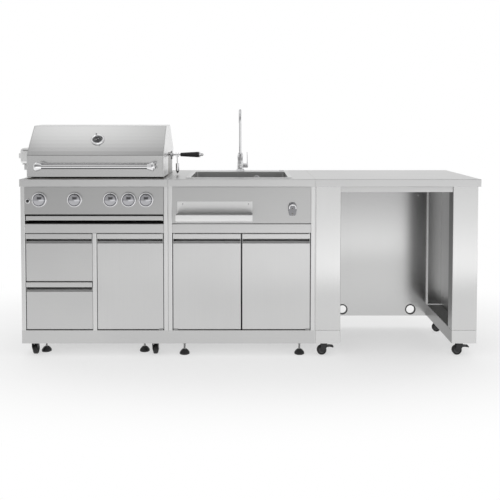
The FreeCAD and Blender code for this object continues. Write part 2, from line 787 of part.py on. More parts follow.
bezels = []
valves = [drum("manifold", "X", ("x_grill + manifold_in", "y_panel + manifold_set", "z_knob"),
               "manifold_radius", "grill_wide - 2 * manifold_in")]
for k, x in enumerate(knob_spots):
    at = (x, "y_panel", "z_knob")
    bezels.append(turned(f"bezel_{k}", "-Y", at, [
        ("stem_radius + stem_gap", "0"),
        ("bezel_radius", "0"),
        ("bezel_radius", "bezel_deep * 0.35"),
        ("bezel_radius * 0.92", "bezel_deep"),
        ("bezel_radius * 0.8", "bezel_deep"),
        ("knob_radius + stem_gap / 2", "bezel_deep * 0.4"),
        ("stem_radius + stem_gap", "bezel_deep * 0.4"),
    ]))
    valves.append(cut(f"valve_{k}", drum(f"valve_body_{k}", "Y", (x, "y_panel + sheet", "z_knob"),
                                         "valve_radius", "valve_long"),
                      [drum(f"valve_bore_{k}", "Y", at, "stem_radius + stem_play", "stem_long - 2")]))
    knob_at = (x, "y_panel - bezel_deep * 0.4 - seat_gap", "z_knob")
    grip = "knob_grip / 2"
    knob = fuse(f"knob_{k}_body", [
        turned(f"knob_{k}_dial", "-Y", knob_at, [
            ("0", "0"),
            ("knob_radius", "0"),
            ("knob_radius", "knob_deep * 0.3"),
            ("knob_radius * 0.86", "knob_deep * 0.55"),
            ("0", "knob_deep * 0.55"),
        ]),
        box(f"knob_{k}_grip", (f"{x} - {grip}", f"{x} + {grip}"),
            (f"{knob_at[1]} - knob_deep", f"{knob_at[1]} - knob_deep * 0.3"),
            ("z_knob - knob_radius * 0.78", "z_knob + knob_radius * 0.78")),
        drum(f"knob_{k}_stem", "Y", (x, f"{knob_at[1]} - 1", "z_knob"), "stem_radius", "stem_long"),
    ])
    node(f"control_knob_{k + 1}", knob)
igniter_at = (igniter_x, "y_panel", "z_igniter")
bezels.append(turned("igniter_ring", "-Y", igniter_at, [
    ("igniter_radius + igniter_play", "0"),
    ("igniter_ring", "0"),
    ("igniter_ring", "ring_deep - ring_lip"),
    ("igniter_ring - ring_lip", "ring_deep"),
    ("igniter_radius + igniter_play", "ring_deep"),
]))
bezels.append(cut("igniter_shell", drum("igniter_tube", "Y", (igniter_x, "y_panel + sheet", "z_igniter"),
                                        "igniter_radius + igniter_case", "case_long"),
                  [drum("igniter_bore", "Y", igniter_at, "igniter_radius + igniter_play", "case_long - 2")]))
node("knob_bezels", *bezels)
node("gas_manifold", fuse("manifold_body", valves))
node("igniter_button", drum("igniter_plunger", "Y", (igniter_x, "y_panel - igniter_proud", "z_igniter"),
                            "igniter_radius", "igniter_proud + igniter_in"))

# Hood: one bent sheet between two end caps, with pins at the rear
hood_x = ("x_hood + cap_thick", "x_hood_end - cap_thick")
hood_outer = [
    ("y_hood", "z_hood"),
    ("y_hood", "z_crease"),
    ("y_crest", "z_crown"),
    ("y_top", "z_crown"),
    ("y_hood_end", "z_shoulder"),
    ("y_hood_end", "z_step"),
]
hood_inner = [
    ("y_hood_end - hood_sheet", "z_step"),
    ("y_hood_end - hood_sheet", "z_shoulder - hood_sheet * tan(45 deg - rear_angle / 2)"),
    ("y_top - hood_sheet * tan(rear_angle / 2)", "z_crown - hood_sheet"),
    ("y_crest + hood_sheet * tan(slope_angle / 2)", "z_crown - hood_sheet"),
    ("y_hood + hood_sheet", "z_crease - hood_sheet * tan(45 deg - slope_angle / 2)"),
    ("y_hood + hood_sheet", "z_hood"),
]
cap_points = hood_outer + [
    ("y_hinge + ear_wide / 2", "z_hinge - ear_low"),
    ("y_hinge - ear_wide / 2", "z_hinge - ear_low"),
    ("y_hinge - ear_wide / 2", "z_step"),
    ("y_step", "z_step"),
    ("y_step", "z_hood"),
]
slope_mid = ("(x_hood + x_hood_end) / 2", "(y_hood + y_crest) / 2", "(z_crease + z_crown) / 2")


def lean(piece):
    """Turn a piece from upright to square with the hood's slope."""
    for name, value in (("Axis.x", "1"), ("Axis.y", "0"), ("Axis.z", "0"), ("Angle", "slope_angle")):
        piece.setExpression("Placement.Rotation." + name, cells(value))
    return piece


stem_hole = drum("thermometer_hole", "Z", slope_mid, "probe_radius + 0.5", "2 * probe_radius + 2 * hood_sheet")
stem_hole.setExpression("Placement.Base.y", cells(slope_mid[1] + " + 2 * hood_sheet * sin(slope_angle)"))
stem_hole.setExpression("Placement.Base.z", cells(slope_mid[2] + " - 2 * hood_sheet * cos(slope_angle)"))
node("hood_shell", cut("hood_drilled", profile_bar("hood_skin", hood_x, hood_outer + hood_inner), [lean(stem_hole)]))
cap_pieces = []
for side, x, pin in (("left", ("x_hood", "x_hood + cap_thick"), "x_hood"),
                     ("right", ("x_hood_end - cap_thick", "x_hood_end"),
                      "x_hood_end - cap_thick - wall_gap - wall_thick")):
    plate = profile_bar(f"cap_{side}", x, cap_points)
    hinge_pin = drum(f"hood_pin_{side}", "X", (pin, "y_hinge", "z_hinge"), "hood_pin_radius",
                     "cap_thick + wall_gap + wall_thick")
    cap_pieces.append(fuse(f"cap_{side}_body", [plate, hinge_pin]))
node("hood_end_caps", *cap_pieces)

handle_pieces = [drum("handle_bar", "X", ("x_handle + flare_long", "y_handle", "z_handle"), "handle_radius",
                      "x_handle_end - x_handle - 2 * flare_long")]
for side, x, turn, sign in (("left", "x_handle", "X", "+"), ("right", "x_handle_end", "-X", "-")):
    post_at = (f"{x} {sign} handle_post_in", "y_handle + handle_post_start", "z_handle")
    handle_pieces.append(fuse(f"handle_end_{side}", [
        turned(f"handle_flare_{side}", turn, (x, "y_handle", "z_handle"), [
            ("0", "0"),
            ("flare_mouth", "0"),
            ("flare_radius", "flare_long * 0.14"),
            ("flare_radius", "flare_long / 3"),
            ("flare_root", "flare_long"),
            ("0", "flare_long"),
        ]),
        drum(f"handle_post_{side}", "Y", post_at, "handle_post_radius", "handle_out - handle_post_start"),
    ]))
node("hood_handle", *handle_pieces)

# Thermometer on the middle of the sloping front, with its probe through the skin
thermometer = turned("thermometer_body", "Z", slope_mid, [
    ("0", "-40"),
    ("probe_radius", "-40"),
    ("probe_radius", "0"),
    ("dial_radius", "0"),
    ("dial_radius", "4"),
    ("dial_radius - 4", "9"),
    ("dial_radius - 7", "9"),
    ("dial_radius - 7", "7"),
    ("0", "7"),
])
node("hood_thermometer", lean(thermometer))

# Rotisserie: motor and bracket on the left wall; spit, forks, handle and counterweight turn together
motor_x = ("x_grill - motor_out", "x_grill - motor_out + motor_wide")
motor_y = ("y_spit - motor_deep / 2", "y_spit + motor_deep / 2")
motor_z = ("z_spit - motor_high * 0.57", "z_spit + motor_high * 0.43")
motor = cut("motor_case", box("motor_block", motor_x, motor_y, motor_z),
            [drum("motor_socket", "X", (f"{motor_x[1]} - 34", "y_spit", "z_spit"), "spit_radius + spit_play", "40")])
node("rotisserie_motor", motor,
     box("motor_plate", (f"{motor_x[0]} + 24", "x_wall"), ("y_spit - 34", "y_spit + 34"),
         (f"{motor_z[0]} - 4", motor_z[0])),
     box("motor_tab", (f"{motor_x[0]} + 31", f"{motor_x[0]} + 49"), ("y_spit - 20", "y_spit + 20"),
         (f"{motor_z[0]} - 35", f"{motor_z[0]} - 4")),
     box("motor_wall_tab", ("x_wall - 2", "x_wall"), ("y_spit - 34", "y_spit + 34"),
         (f"{motor_z[0]} - 30", f"{motor_z[0]} - 4")))

spit_start = f"{motor_x[1]} - 30"
rod_end = "x_sink + spit_run"
rod = drum("spit_bar", "X", (spit_start, "y_spit", "z_spit"), "spit_radius", f"{rod_end} - ({spit_start})")
spit_pieces = [rod, drum("spit_collar", "X", ("x_sink - collar_long", "y_spit", "z_spit"), "collar_radius",
                         "collar_long")]
for side, hub, reach in (("left", "x_wall + 170", "fork_long"), ("right", "x_wall_end - 190", "-fork_long")):
    spit_pieces.append(drum(f"fork_hub_{side}", "X", (hub, "y_spit", "z_spit"), "13", "20"))
    spit_pieces.append(box(f"fork_bridge_{side}", (hub, f"{hub} + 6"), ("y_spit - 4", "y_spit + 4"),
                           ("z_spit - fork_reach", "z_spit + fork_reach")))
    for end, offset in (("low", "-fork_reach"), ("high", "fork_reach - 6")):
        tine_x = (hub, f"{hub} + fork_long") if side == "left" else (f"{hub} + 6 - fork_long", f"{hub} + 6")
        spit_pieces.append(box(f"tine_{side}_{end}", tine_x, ("y_spit - 3", "y_spit + 3"),
                               (f"z_spit + {offset}", f"z_spit + {offset} + 6")))
node("spit_rod", fuse("spit_body", spit_pieces))
grip_start = "x_sink + handle_start"
node("spit_handle", cut("spit_grip", fuse("spit_grip_body", [
    cone("spit_grip_cone", "X", (grip_start, "y_spit", "z_spit"), "handle_small", "handle_large", "handle_long"),
    drum("spit_grip_ring", "X", (f"{grip_start} + handle_long", "y_spit", "z_spit"), "handle_large", "10"),
    drum("spit_grip_end", "X", (f"{grip_start} + handle_long + 10", "y_spit", "z_spit"), "8", "14"),
]), [drum("spit_grip_bore", "X", ("x_sink", "y_spit", "z_spit"), "spit_radius", "spit_run")]))
weight_x = "x_sink + weight_start + weight_wide / 2"
node("spit_counterweight", cut("weight_group_body", fuse("weight_body", [
    box("weight_hub", (f"{weight_x} - 8", f"{weight_x} + 8"), ("y_spit - 11", "y_spit + 11"),
        ("z_spit - 14", "z_spit + 12")),
    drum("weight_rod", "-Z", (weight_x, "y_spit", "z_spit"), "3.5", "weight_reach - 12"),
    drum("weight_mass", "-Z", (weight_x, "y_spit", "z_spit - weight_reach + 14 + weight_high"),
         "weight_wide / 2", "weight_high"),
    drum("weight_knob", "-Z", (weight_x, "y_spit", "z_spit - weight_reach + 14"), "7", "14"),
]), [drum("weight_bore", "X", (f"{weight_x} - 20", "y_spit", "z_spit"), "spit_radius", "40")]))

# Sink cabinet
sink_open = ("x_sink + post_wide", "x_table - post_wide")
left_pin_x = f"{sink_open[0]} + hinge_gap + pin_set"
right_pin_x = f"{sink_open[1]} - hinge_gap - pin_set"
sink_base = base_frame("sink_base", "x_sink", "x_table")
sink_base[0] = drilled(sink_base[0], [pin_hole("sink_low_hole_l", left_pin_x, "z_base"),
                                      pin_hole("sink_low_hole_r", right_pin_x, "z_base")])
node("sink_carcass", *sink_base, *panels("sink", "x_sink", "x_table"))
sink_rail = bar("sink_rail", sink_open, face_y, ("z_door", "z_rail"), "x")
node("sink_front_frame",
     bar("sink_post_l", ("x_sink", sink_open[0]), face_y, post_z, "z"),
     bar("sink_post_r", (sink_open[1], "x_table"), face_y, post_z, "z"),
     drilled(sink_rail, [pin_hole("sink_high_hole_l", left_pin_x, "z_door"),
                         pin_hole("sink_high_hole_r", right_pin_x, "z_door")]),
     box("sink_apron", sink_open, ("y_apron", "y_apron + sheet"), ("z_rail", "z_under")))
sink_middle = "(x_sink + x_table) / 2"
door("sink_door_left", (f"{sink_open[0]} + hinge_gap", f"{sink_middle} - meeting_gap / 2"), "left")
door("sink_door_right", (f"{sink_middle} + meeting_gap / 2", f"{sink_open[1]} - hinge_gap"), "right")

# Sink bowl with its rim, drain, overflow and hole cover
bowl_x = ("x_bowl_mid - bowl_wide / 2", "x_bowl_mid + bowl_wide / 2")
bowl_y = ("y_bowl", "y_bowl_end")
bowl_inner_x = (f"{bowl_x[0]} + bowl_wall", f"{bowl_x[1]} - bowl_wall")
bowl_inner_y = ("y_bowl + bowl_wall", "y_bowl_end - bowl_wall")
bowl_mid_y = "(y_bowl + y_bowl_end) / 2"
bowl_floor = cut("bowl_floor", box("bowl_floor_plate", bowl_x, bowl_y, ("z_bowl", "z_bowl + bowl_wall")),
                 [drum("drain_cut", "Z", ("x_bowl_mid", bowl_mid_y, "z_bowl - 1"), "tail_radius", "bowl_wall + 2")])
bowl_rim = ring("bowl_rim", ("x_bowl_mid - rim_wide / 2", "x_bowl_mid + rim_wide / 2"), ("y_rim", "y_rim_end"),
                bowl_inner_x, bowl_inner_y, ("counter_high", "z_deck"))
bowl_walls = ring("bowl_wall", bowl_x, bowl_y, bowl_inner_x, bowl_inner_y, ("z_bowl + bowl_wall", "counter_high"))
drain = cut("drain", fuse("drain_outside", [
    drum("drain_cup", "-Z", ("x_bowl_mid", bowl_mid_y, "z_bowl"), "drain_radius", "drain_deep"),
    drum("drain_tail", "-Z", ("x_bowl_mid", bowl_mid_y, "z_bowl"), "tail_radius + tail_wall",
         "drain_deep + tail_long"),
]), [drum("drain_bore", "-Z", ("x_bowl_mid", bowl_mid_y, "z_bowl + 1"), "tail_radius", "drain_deep + tail_long + 2")])
overflow = drum("overflow_fitting", "-Y", ("x_bowl_mid + overflow_right", bowl_inner_y[1],
                                           "counter_high - overflow_down"), "overflow_radius", "overflow_thick")
cover = drum("hole_cover", "Z", ("x_bowl_mid + cover_right", "y_faucet", "z_deck"), "cover_radius", "cover_thick")
node("sink_bowl", bowl_floor, *bowl_walls, *bowl_rim, drain, overflow, cover)

# Faucet: body, swivelling gooseneck and lever
faucet_at = ("x_bowl_mid", "y_faucet", "z_deck")
faucet = turned("faucet_base", "Z", faucet_at, [
    ("riser_radius + swivel_play", "20"),
    ("riser_radius + swivel_play", "faucet_high"),
    ("faucet_radius * 0.7", "faucet_high"),
    ("faucet_radius", "faucet_high - 14"),
    ("faucet_radius", "10"),
    ("faucet_radius + 8", "0"),
    ("0", "0"),
    ("0", "20"),
])
hub = drum("faucet_hub", "X", ("x_bowl_mid", "y_faucet", "z_lever"), "13", "faucet_radius + 12")
hub_cut = drum("faucet_hub_cut", "Z", ("x_bowl_mid", "y_faucet", "z_deck + 20"), "riser_radius + swivel_play", "60")
lever_bore = drum("lever_bore", "X", ("x_bowl_mid + faucet_radius", "y_faucet", "z_lever"),
                  "5 + swivel_play", "20")
node("faucet_body", cut("faucet_solid", fuse("faucet_joined", [faucet, hub]), [hub_cut, lever_bore]))
neck = doc.addObject("Part::Torus", "faucet_neck")
neck.setExpression("Radius1", cells("neck_reach"))
neck.setExpression("Radius2", cells("riser_radius"))
neck.Angle3 = 180
put(neck, ("x_bowl_mid", "y_faucet - neck_reach", "z_spout + riser_high - seat_gap"))
neck.Placement = Placement(neck.Placement.Base, Rotation(Vector(0, 0, 1), 90) * Rotation(Vector(1, 0, 0), 90))
node("faucet_spout", fuse("spout_body", [
    drum("spout_riser", "Z", ("x_bowl_mid", "y_faucet", "z_deck + 20 + seat_gap"), "riser_radius",
         "faucet_high - 20 - seat_gap + riser_high - seat_gap"),
    neck,
    drum("spout_drop_tube", "-Z", ("x_bowl_mid", "y_faucet - 2 * neck_reach", "z_spout + riser_high - seat_gap"),
         "riser_radius", "spout_drop"),
    drum("spout_nozzle", "-Z", ("x_bowl_mid", "y_faucet - 2 * neck_reach", "z_spout + riser_high - spout_drop + 1"),
         "nozzle_radius", "nozzle_long"),
]))
lever_x = "x_bowl_mid + faucet_radius + 12 + seat_gap"
node("faucet_lever", fuse("lever_body", [
    drum("lever_boss", "X", (lever_x, "y_faucet", "z_lever"), "13", "12"),
    drum("lever_stem", "-X", (lever_x + " + 1", "y_faucet", "z_lever"), "5", "11"),
    box("lever_blade", (f"{lever_x} + 3", f"{lever_x} + 9"), ("y_faucet - 5", "y_faucet + 5"),
        ("z_lever", "z_lever + lever_long")),
]))

# Bottle rail: a back plate and an open trough, and the bottle opener beside it
rail_x = ("x_sink + rail_left", "x_sink + rail_left + rail_wide")
trough_y = ("y_apron - rail_deep", "y_apron")
trough_z = ("z_trough", "z_trough + rail_wall_high")
trough = cut("rail_trough", box("rail_block", rail_x, trough_y, trough_z),
             [box("rail_hollow", (f"{rail_x[0]} + rail_sheet", f"{rail_x[1]} - rail_sheet"),
                  (f"{trough_y[0]} + rail_sheet", f"{trough_y[1]} - rail_sheet"),
                  (f"{trough_z[0]} + rail_sheet", f"{trough_z[1]} + 1"))])
rail_plate = box("rail_plate", rail_x, ("y_apron - rail_sheet", "y_apron"),
                 (f"{trough_z[1]} - 1", "z_trough + rail_plate_high"))
rail_screws = [drum(f"rail_screw_{side}", "-Y", (x, "y_apron - rail_sheet", "z_trough + rail_plate_high - 14"), "4", "3")
               for side, x in (("l", f"{rail_x[0]} + 28"), ("r", f"{rail_x[1]} - 20"))]
node("bottle_rail", fuse("rail_body", [trough, rail_plate]), *rail_screws)
half = "opener_wide / 2"
opener_plate = box("opener_plate", (f"x_opener - {half}", f"x_opener + {half}"),
                   ("y_apron - opener_thick", "y_apron"),
                   ("z_opener - opener_tall / 2", "z_opener + opener_tall / 2"))
opener_mouth = cut("opener_arch", drum("opener_arch_outer", "-Y",
                                       ("x_opener", "y_apron - opener_thick", "z_opener + 8"), "20", "22"),
                   [drum("opener_arch_bore", "-Y", ("x_opener", "y_apron - opener_thick + 1", "z_opener + 8"), "15", "30"),
                    box("opener_arch_cut", (f"x_opener - 30", f"x_opener + 30"), ("y_apron - 40", "y_apron"),
                        ("z_opener - 40", "z_opener + 2"))])
node("bottle_opener", fuse("opener_body", [opener_plate, opener_mouth]))


# Table: two sheet legs open on their inner side, a back panel and a front rail
def table_leg(label, x, inner):
    """The sheets of a leg whose open side faces the knee space: inner is 'right' or 'left'."""
    low, high = x
    outer_wall = (low, f"{low} + sheet") if inner == "right" else (f"{high} - sheet", high)
    inner_wall = (f"{high} - sheet", high) if inner == "right" else (low, f"{low} + sheet")
    liner = (f"{low} + 44", f"{low} + 44 + sheet") if inner == "right" else (f"{high} - 44 - sheet", f"{high} - 44")
    z = ("z_base", "z_under")
    low_z = ("base_low", "z_base")
    y = ("y_face + sheet", "y_back - sheet")
    foot_z = ("base_low", "base_low + foot_rail_high")
    inside = (f"{low} + sheet", f"{high} - sheet")
    return [
        box(label + "_front", x, ("y_face", "y_face + sheet"), z),
        box(label + "_rear", x, ("y_back - sheet", "y_back"), z),
        box(label + "_outer", outer_wall, y, z),
        box(label + "_fold_front", inner_wall, ("y_face + sheet", "y_face + leg_front_fold"), z),
        box(label + "_fold_rear", inner_wall, ("y_back - leg_rear_fold", "y_back - sheet"), z),
        box(label + "_liner", liner, y, z),
        box(label + "_base_front", x, ("y_face", "y_face + sheet"), low_z),
        box(label + "_base_rear", x, ("y_back - sheet", "y_back"), low_z),
        box(label + "_base_l", (low, f"{low} + sheet"), y, low_z),
        box(label + "_base_r", (f"{high} - sheet", high), y, low_z),
        box(label + "_base_top", inside, y, ("z_base - sheet", "z_base")),
        bar(label + "_foot_fore", inside, ("y_face + sheet", "y_inner + fore_rail_deep"), foot_z, "x"),
        bar(label + "_foot_aft", inside, ("y_back - bar_deep - aft_rail_deep", "y_back - sheet"), foot_z, "x"),
    ]


node("table_legs",
     *table_leg("leg_left", ("x_leg", "x_leg_end"), "right"),
     *table_leg("leg_right", ("x_leg_far", "x_leg_far_end"), "left"))

cable_spots = ("x_table + cable_left", "x_end - cable_right_in")
back_plate = box("back_plate", ("x_leg_end", "x_leg_far"), ("y_back - sheet", "y_back - sheet + back_thick"),
                 ("base_low", "z_under"))
back_holes = [drum(f"cable_cut_{k}", "Y", (x, "y_back - 10", "z_cable"), "cable_radius + 1.5", "40")
              for k, x in enumerate(cable_spots)]
grommets = [turned(f"grommet_{k}", "Y", (x, "y_back - sheet - 2", "z_cable"), [
    ("cable_radius", "0"),
    ("cable_radius + 1.5 + grommet_lip", "0"),
    ("cable_radius + 1.5 + grommet_lip", "2"),
    ("cable_radius + 1.5", "2"),
    ("cable_radius + 1.5", "2 + back_thick"),
    ("cable_radius", "2 + back_thick"),
]) for k, x in enumerate(cable_spots)]
node("table_back_panel", cut("back_panel", back_plate, back_holes), *grommets,
     bar("table_front_rail", ("x_leg_end", "x_leg_far"), ("y_face + table_rail_set", "y_inner + table_rail_set"),
         ("z_under - table_rail_high", "z_under"), "x"))

# Levelling feet: four under each cabinet
foot_spots = []
for left, right, fore, aft in (
        ("x_grill + foot_left_in", "x_sink - foot_right_in", "y_front + foot_front", "y_rear - foot_rear_in"),
        ("x_sink + sink_foot_left_in", "x_table - sink_foot_right_in",
         "y_front + sink_foot_front", "y_rear - sink_foot_rear_in")):
    for y in (fore, aft):
        foot_spots += [(left, y), (right, y)]
feet = [turned(f"foot_{k}", "Z", (x, y, "0"), [
    ("0", "0"),
    ("pad_radius", "0"),
    ("pad_radius", "pad_thick * 0.5"),
    ("pad_radius * 0.7", "pad_thick + 4"),
    ("rod_radius + 2", "pad_thick + 8"),
    ("rod_radius", "pad_thick + 8"),
    ("rod_radius", "base_low - cup_high"),
    ("cup_radius * 0.55", "base_low - cup_high"),
    ("cup_radius", "base_low - 4"),
    ("cup_radius", "base_low"),
    ("0", "base_low"),
]) for k, (x, y) in enumerate(foot_spots)]

# Casters: four under the grill cabinet, two under each table leg
caster_rows = ("y_front + caster_front", "y_rear - caster_rear_in")
caster_spots = []
for y in caster_rows:
    caster_spots += [("grill", "x_grill + caster_left_in", y), ("grill", "x_sink - caster_right_in", y)]
for y in caster_rows:
    caster_spots += [("table", "x_leg + leg_caster_in", y), ("table", "x_leg_far + leg_caster_in", y)]

caster_plates = []
head_z = "base_low - plate_thick"
axle_z = "wheel_radius"
for k, (where, x, y) in enumerate(caster_spots, start=1):
    half_plate = "plate_wide / 2"
    plate = box(f"caster_{k}_plate", (f"{x} - {half_plate}", f"{x} + {half_plate}"),
                (f"{y} - {half_plate}", f"{y} + {half_plate}"), (head_z, "base_low"))
    kingpin = drum(f"caster_{k}_kingpin", "-Z", (x, y, f"{head_z} + 1"), "kingpin_radius", "9")
    rivet = drum(f"caster_{k}_rivet", "-Z", (x, y, f"{head_z} - 6.6"), "kingpin_radius + 3", "2")
    caster_plates.append(fuse(f"caster_{k}_top", [plate, kingpin, rivet]))
    # The wheel trails backwards under the grill, and to the left under the table
    along_x = where == "table"
    half_wheel = "wheel_wide / 2"
    cheek = f"{half_wheel} + fork_gap"
    head_high = f"{head_z} - seat_gap"
    head = cut(f"caster_{k}_head", drum(f"caster_{k}_head_disc", "-Z", (x, y, head_high), "20", "6"),
               [drum(f"caster_{k}_head_bore", "-Z", (x, y, head_z), "kingpin_radius + 0.1", "10")])
    cheeks = []
    for side, near, far in (("a", f"-({cheek}) - fork_sheet", f"-({cheek})"),
                            ("b", f"{cheek}", f"{cheek} + fork_sheet")):
        cheek_z = (f"{axle_z} - 8", f"{head_high} - 3")
        if along_x:
            cheeks.append(box(f"caster_{k}_cheek_{side}", (f"{x} - wheel_trail - 9", f"{x} + 14"),
                              (f"{y} + {near}", f"{y} + {far}"), cheek_z))
        else:
            cheeks.append(box(f"caster_{k}_cheek_{side}", (f"{x} + {near}", f"{x} + {far}"),
                              (f"{y} - 10", f"{y} + wheel_trail + 9"), cheek_z))
    hub_at = (f"{x} - wheel_trail", y, axle_z) if along_x else (x, f"{y} + wheel_trail", axle_z)
    turn = "Y" if along_x else "X"
    half_axle = f"({cheek} + fork_sheet + 1)"
    axle_at = (hub_at[0], f"{y} - {half_axle}", axle_z) if along_x else (f"{x} - {half_axle}", hub_at[1], axle_z)
    axle = drum(f"caster_{k}_axle", turn, axle_at, "axle_radius", f"2 * {half_axle}")
    fork = fuse(f"caster_{k}_fork_body", [head] + cheeks + [axle])
    if where == "table" and y == caster_rows[0]:
        pivot = (f"{x} - wheel_trail + pedal_ahead", f"{y} - {half_axle}", "z_pedal")
        hole = drum(f"caster_{k}_pedal_hole", "Y", pivot, "pedal_pin_radius + pin_play", f"2 * {half_axle}")
        fork = cut(f"caster_{k}_fork_drilled", fork, [hole])
        node(f"caster_{k}_brake_pedal", fuse(f"caster_{k}_pedal_body", [
            drum(f"caster_{k}_pedal_pin", "Y", pivot, "pedal_pin_radius", f"2 * {half_axle}"),
            drum(f"caster_{k}_pedal_hub", "Y", (pivot[0], f"{y} - {half_wheel}", pivot[2]), "4.5", "wheel_wide"),
            box(f"caster_{k}_pedal_blade", (pivot[0], f"{x} + pedal_reach"),
                (f"{y} - {half_wheel}", f"{y} + {half_wheel}"), ("z_pedal - 3", "z_pedal + 3")),
        ]))
    node(f"caster_{k}_fork", fork)
    wheel_at = ((hub_at[0], f"{y} - {half_wheel}", axle_z) if along_x
                else (f"{x} - {half_wheel}", hub_at[1], axle_z))
    node(f"caster_{k}_wheel", turned(f"caster_{k}_tyre", turn, wheel_at, [
        ("axle_radius + 0.1", "0"),
        ("wheel_radius - 4", "0"),
        ("wheel_radius", "4"),
        ("wheel_radius", "wheel_wide - 4"),
        ("wheel_radius - 4", "wheel_wide"),
        ("axle_radius + 0.1", "wheel_wide"),
    ]))
node("feet_and_caster_plates", *feet, *caster_plates)

# Export, only once every object is sound
doc.recompute()
faults = [item.Name for item in doc.Objects if "Invalid" in item.State or "Error" in item.State]
faults += [part.Label for part in nodes if part.Shape.isNull() or not part.Shape.isValid()]
if faults:
    raise RuntimeError("these did not build: " + ", ".join(faults))
os.makedirs("parts", exist_ok=True)
for part in nodes:
    part.Shape.exportStep(f"parts/{part.Label}.step")
print(len(nodes), "sub-parts written")
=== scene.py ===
"""Outdoor kitchen island: the finished look of the grill cabinet, the sink cabinet and the open table.

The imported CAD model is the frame. Every piece here is a surface worked out with numpy in the same frame, in
metres, and it stands on the sizes that the CAD nodes report.
"""

import json
import logging
import math
from dataclasses import dataclass
from enum import Enum

import bpy
import numpy as np
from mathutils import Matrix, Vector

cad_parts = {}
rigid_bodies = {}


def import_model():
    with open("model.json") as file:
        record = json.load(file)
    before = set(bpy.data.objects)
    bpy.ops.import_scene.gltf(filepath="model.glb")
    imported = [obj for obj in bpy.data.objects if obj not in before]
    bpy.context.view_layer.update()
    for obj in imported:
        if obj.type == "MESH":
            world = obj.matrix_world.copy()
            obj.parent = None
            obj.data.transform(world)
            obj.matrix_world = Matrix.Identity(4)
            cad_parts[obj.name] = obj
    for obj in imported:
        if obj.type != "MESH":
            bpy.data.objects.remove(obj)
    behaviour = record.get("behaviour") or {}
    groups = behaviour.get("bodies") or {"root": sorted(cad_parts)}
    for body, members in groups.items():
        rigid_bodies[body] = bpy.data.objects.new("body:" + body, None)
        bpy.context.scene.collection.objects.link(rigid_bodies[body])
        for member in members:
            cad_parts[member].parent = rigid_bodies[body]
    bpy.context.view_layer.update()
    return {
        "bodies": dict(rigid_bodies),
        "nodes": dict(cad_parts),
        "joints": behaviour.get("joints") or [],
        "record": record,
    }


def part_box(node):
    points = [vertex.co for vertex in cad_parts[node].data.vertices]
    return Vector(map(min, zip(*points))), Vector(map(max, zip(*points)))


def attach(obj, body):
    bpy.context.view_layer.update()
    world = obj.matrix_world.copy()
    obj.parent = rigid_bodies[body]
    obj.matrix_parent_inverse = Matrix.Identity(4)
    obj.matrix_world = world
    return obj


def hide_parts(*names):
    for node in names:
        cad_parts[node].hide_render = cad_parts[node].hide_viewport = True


log = logging.getLogger("island")

Span = tuple[float, float]
Point = tuple[float, float, float] | np.ndarray
Line = list[Span] | np.ndarray


class Axis(Enum):
    """The way a profile is drawn and carried: rows are the directions of its across, up and along."""

    X = ((0, 1, 0), (0, 0, 1), (1, 0, 0))
    LEFT = ((0, -1, 0), (0, 0, 1), (-1, 0, 0))
    FRONT = ((1, 0, 0), (0, 0, 1), (0, -1, 0))
    BACK = ((-1, 0, 0), (0, 0, 1), (0, 1, 0))
    UP = ((1, 0, 0), (0, 1, 0), (0, 0, 1))


# Directions of a plate or tube whose thickness or length runs along x, y or z.
CARRIED = (Axis.X, Axis.FRONT, Axis.UP)


class Slot(Enum):
    """The record's material slots, named in the calls that make new pieces."""

    PANEL = "steel_panel"
    MIRROR = "steel_mirror"
    CHROME = "chrome"
    PLASTIC = "black_plastic"
    RUBBER = "black_rubber"


@dataclass
class Shell:
    """Points and faces of one closed surface, or of several together."""

    points: np.ndarray
    faces: list[list[int]]

    def __add__(self, other: "Shell") -> "Shell":
        """Both surfaces in one.

        Args:
            other: The surface to add.

        Returns:
            The joined shell.
        """
        moved = [[k + len(self.points) for k in face] for face in other.faces]
        return Shell(np.vstack([self.points, other.points]), self.faces + moved)


def placed(local: np.ndarray, axis: Axis | np.ndarray, at: Point) -> np.ndarray:
    """Carry local points to the frame: at + across * row 1 + up * row 2 + along * row 3.

    Args:
        local: Points whose last dimension is across, up, along.
        axis: The directions, named or as three rows.
        at: The local origin in the frame.

    Returns:
        The points in the frame.
    """
    rows = axis.value if isinstance(axis, Axis) else axis
    return np.asarray(at, float) + local @ np.asarray(rows, float)


def unit(vectors: np.ndarray) -> np.ndarray:
    """Vectors scaled to length 1."""
    return vectors / np.maximum(np.linalg.norm(vectors, axis=-1, keepdims=True), 1e-12)


def fillet(corners: Line, radius: float | list[float], closed: bool = True, steps: int = 4) -> np.ndarray:
    """Round a polyline: each corner becomes the arc of a circle tangent to both of its sides.

    Args:
        corners: The polyline's points.
        radius: One radius, or one for each corner.
        closed: Whether the last point joins the first.
        steps: Segments in each arc.

    Returns:
        The rounded outline, one row for each point.
    """
    line = np.asarray(corners, float)
    middle = line if closed else line[1:-1]
    size = np.broadcast_to(np.asarray(radius, float), len(middle))
    before = np.roll(line, 1, axis=0) if closed else line[:-2]
    after = np.roll(line, -1, axis=0) if closed else line[2:]
    to_before = unit(before - middle)
    to_after = unit(after - middle)
    half = np.arccos(np.clip((to_before * to_after).sum(1), -1, 1)) / 2
    half = np.minimum(half, math.pi / 2 - 1e-4)
    hub = middle + unit(to_before + to_after + 1e-12) * (size / np.sin(half))[:, None]
    first = middle + to_before * (size / np.tan(half))[:, None] - hub
    last = middle + to_after * (size / np.tan(half))[:, None] - hub
    turn = (math.pi - 2 * half)[:, None, None]
    share = np.linspace(0, 1, steps + 1)[None, :, None]
    arcs = np.sin((1 - share) * turn) * first[:, None] + np.sin(share * turn) * last[:, None]
    rounded = (hub[:, None] + arcs / np.sin(turn)).reshape(-1, 2)
    return rounded if closed else np.vstack([line[:1], rounded, line[-1:]])


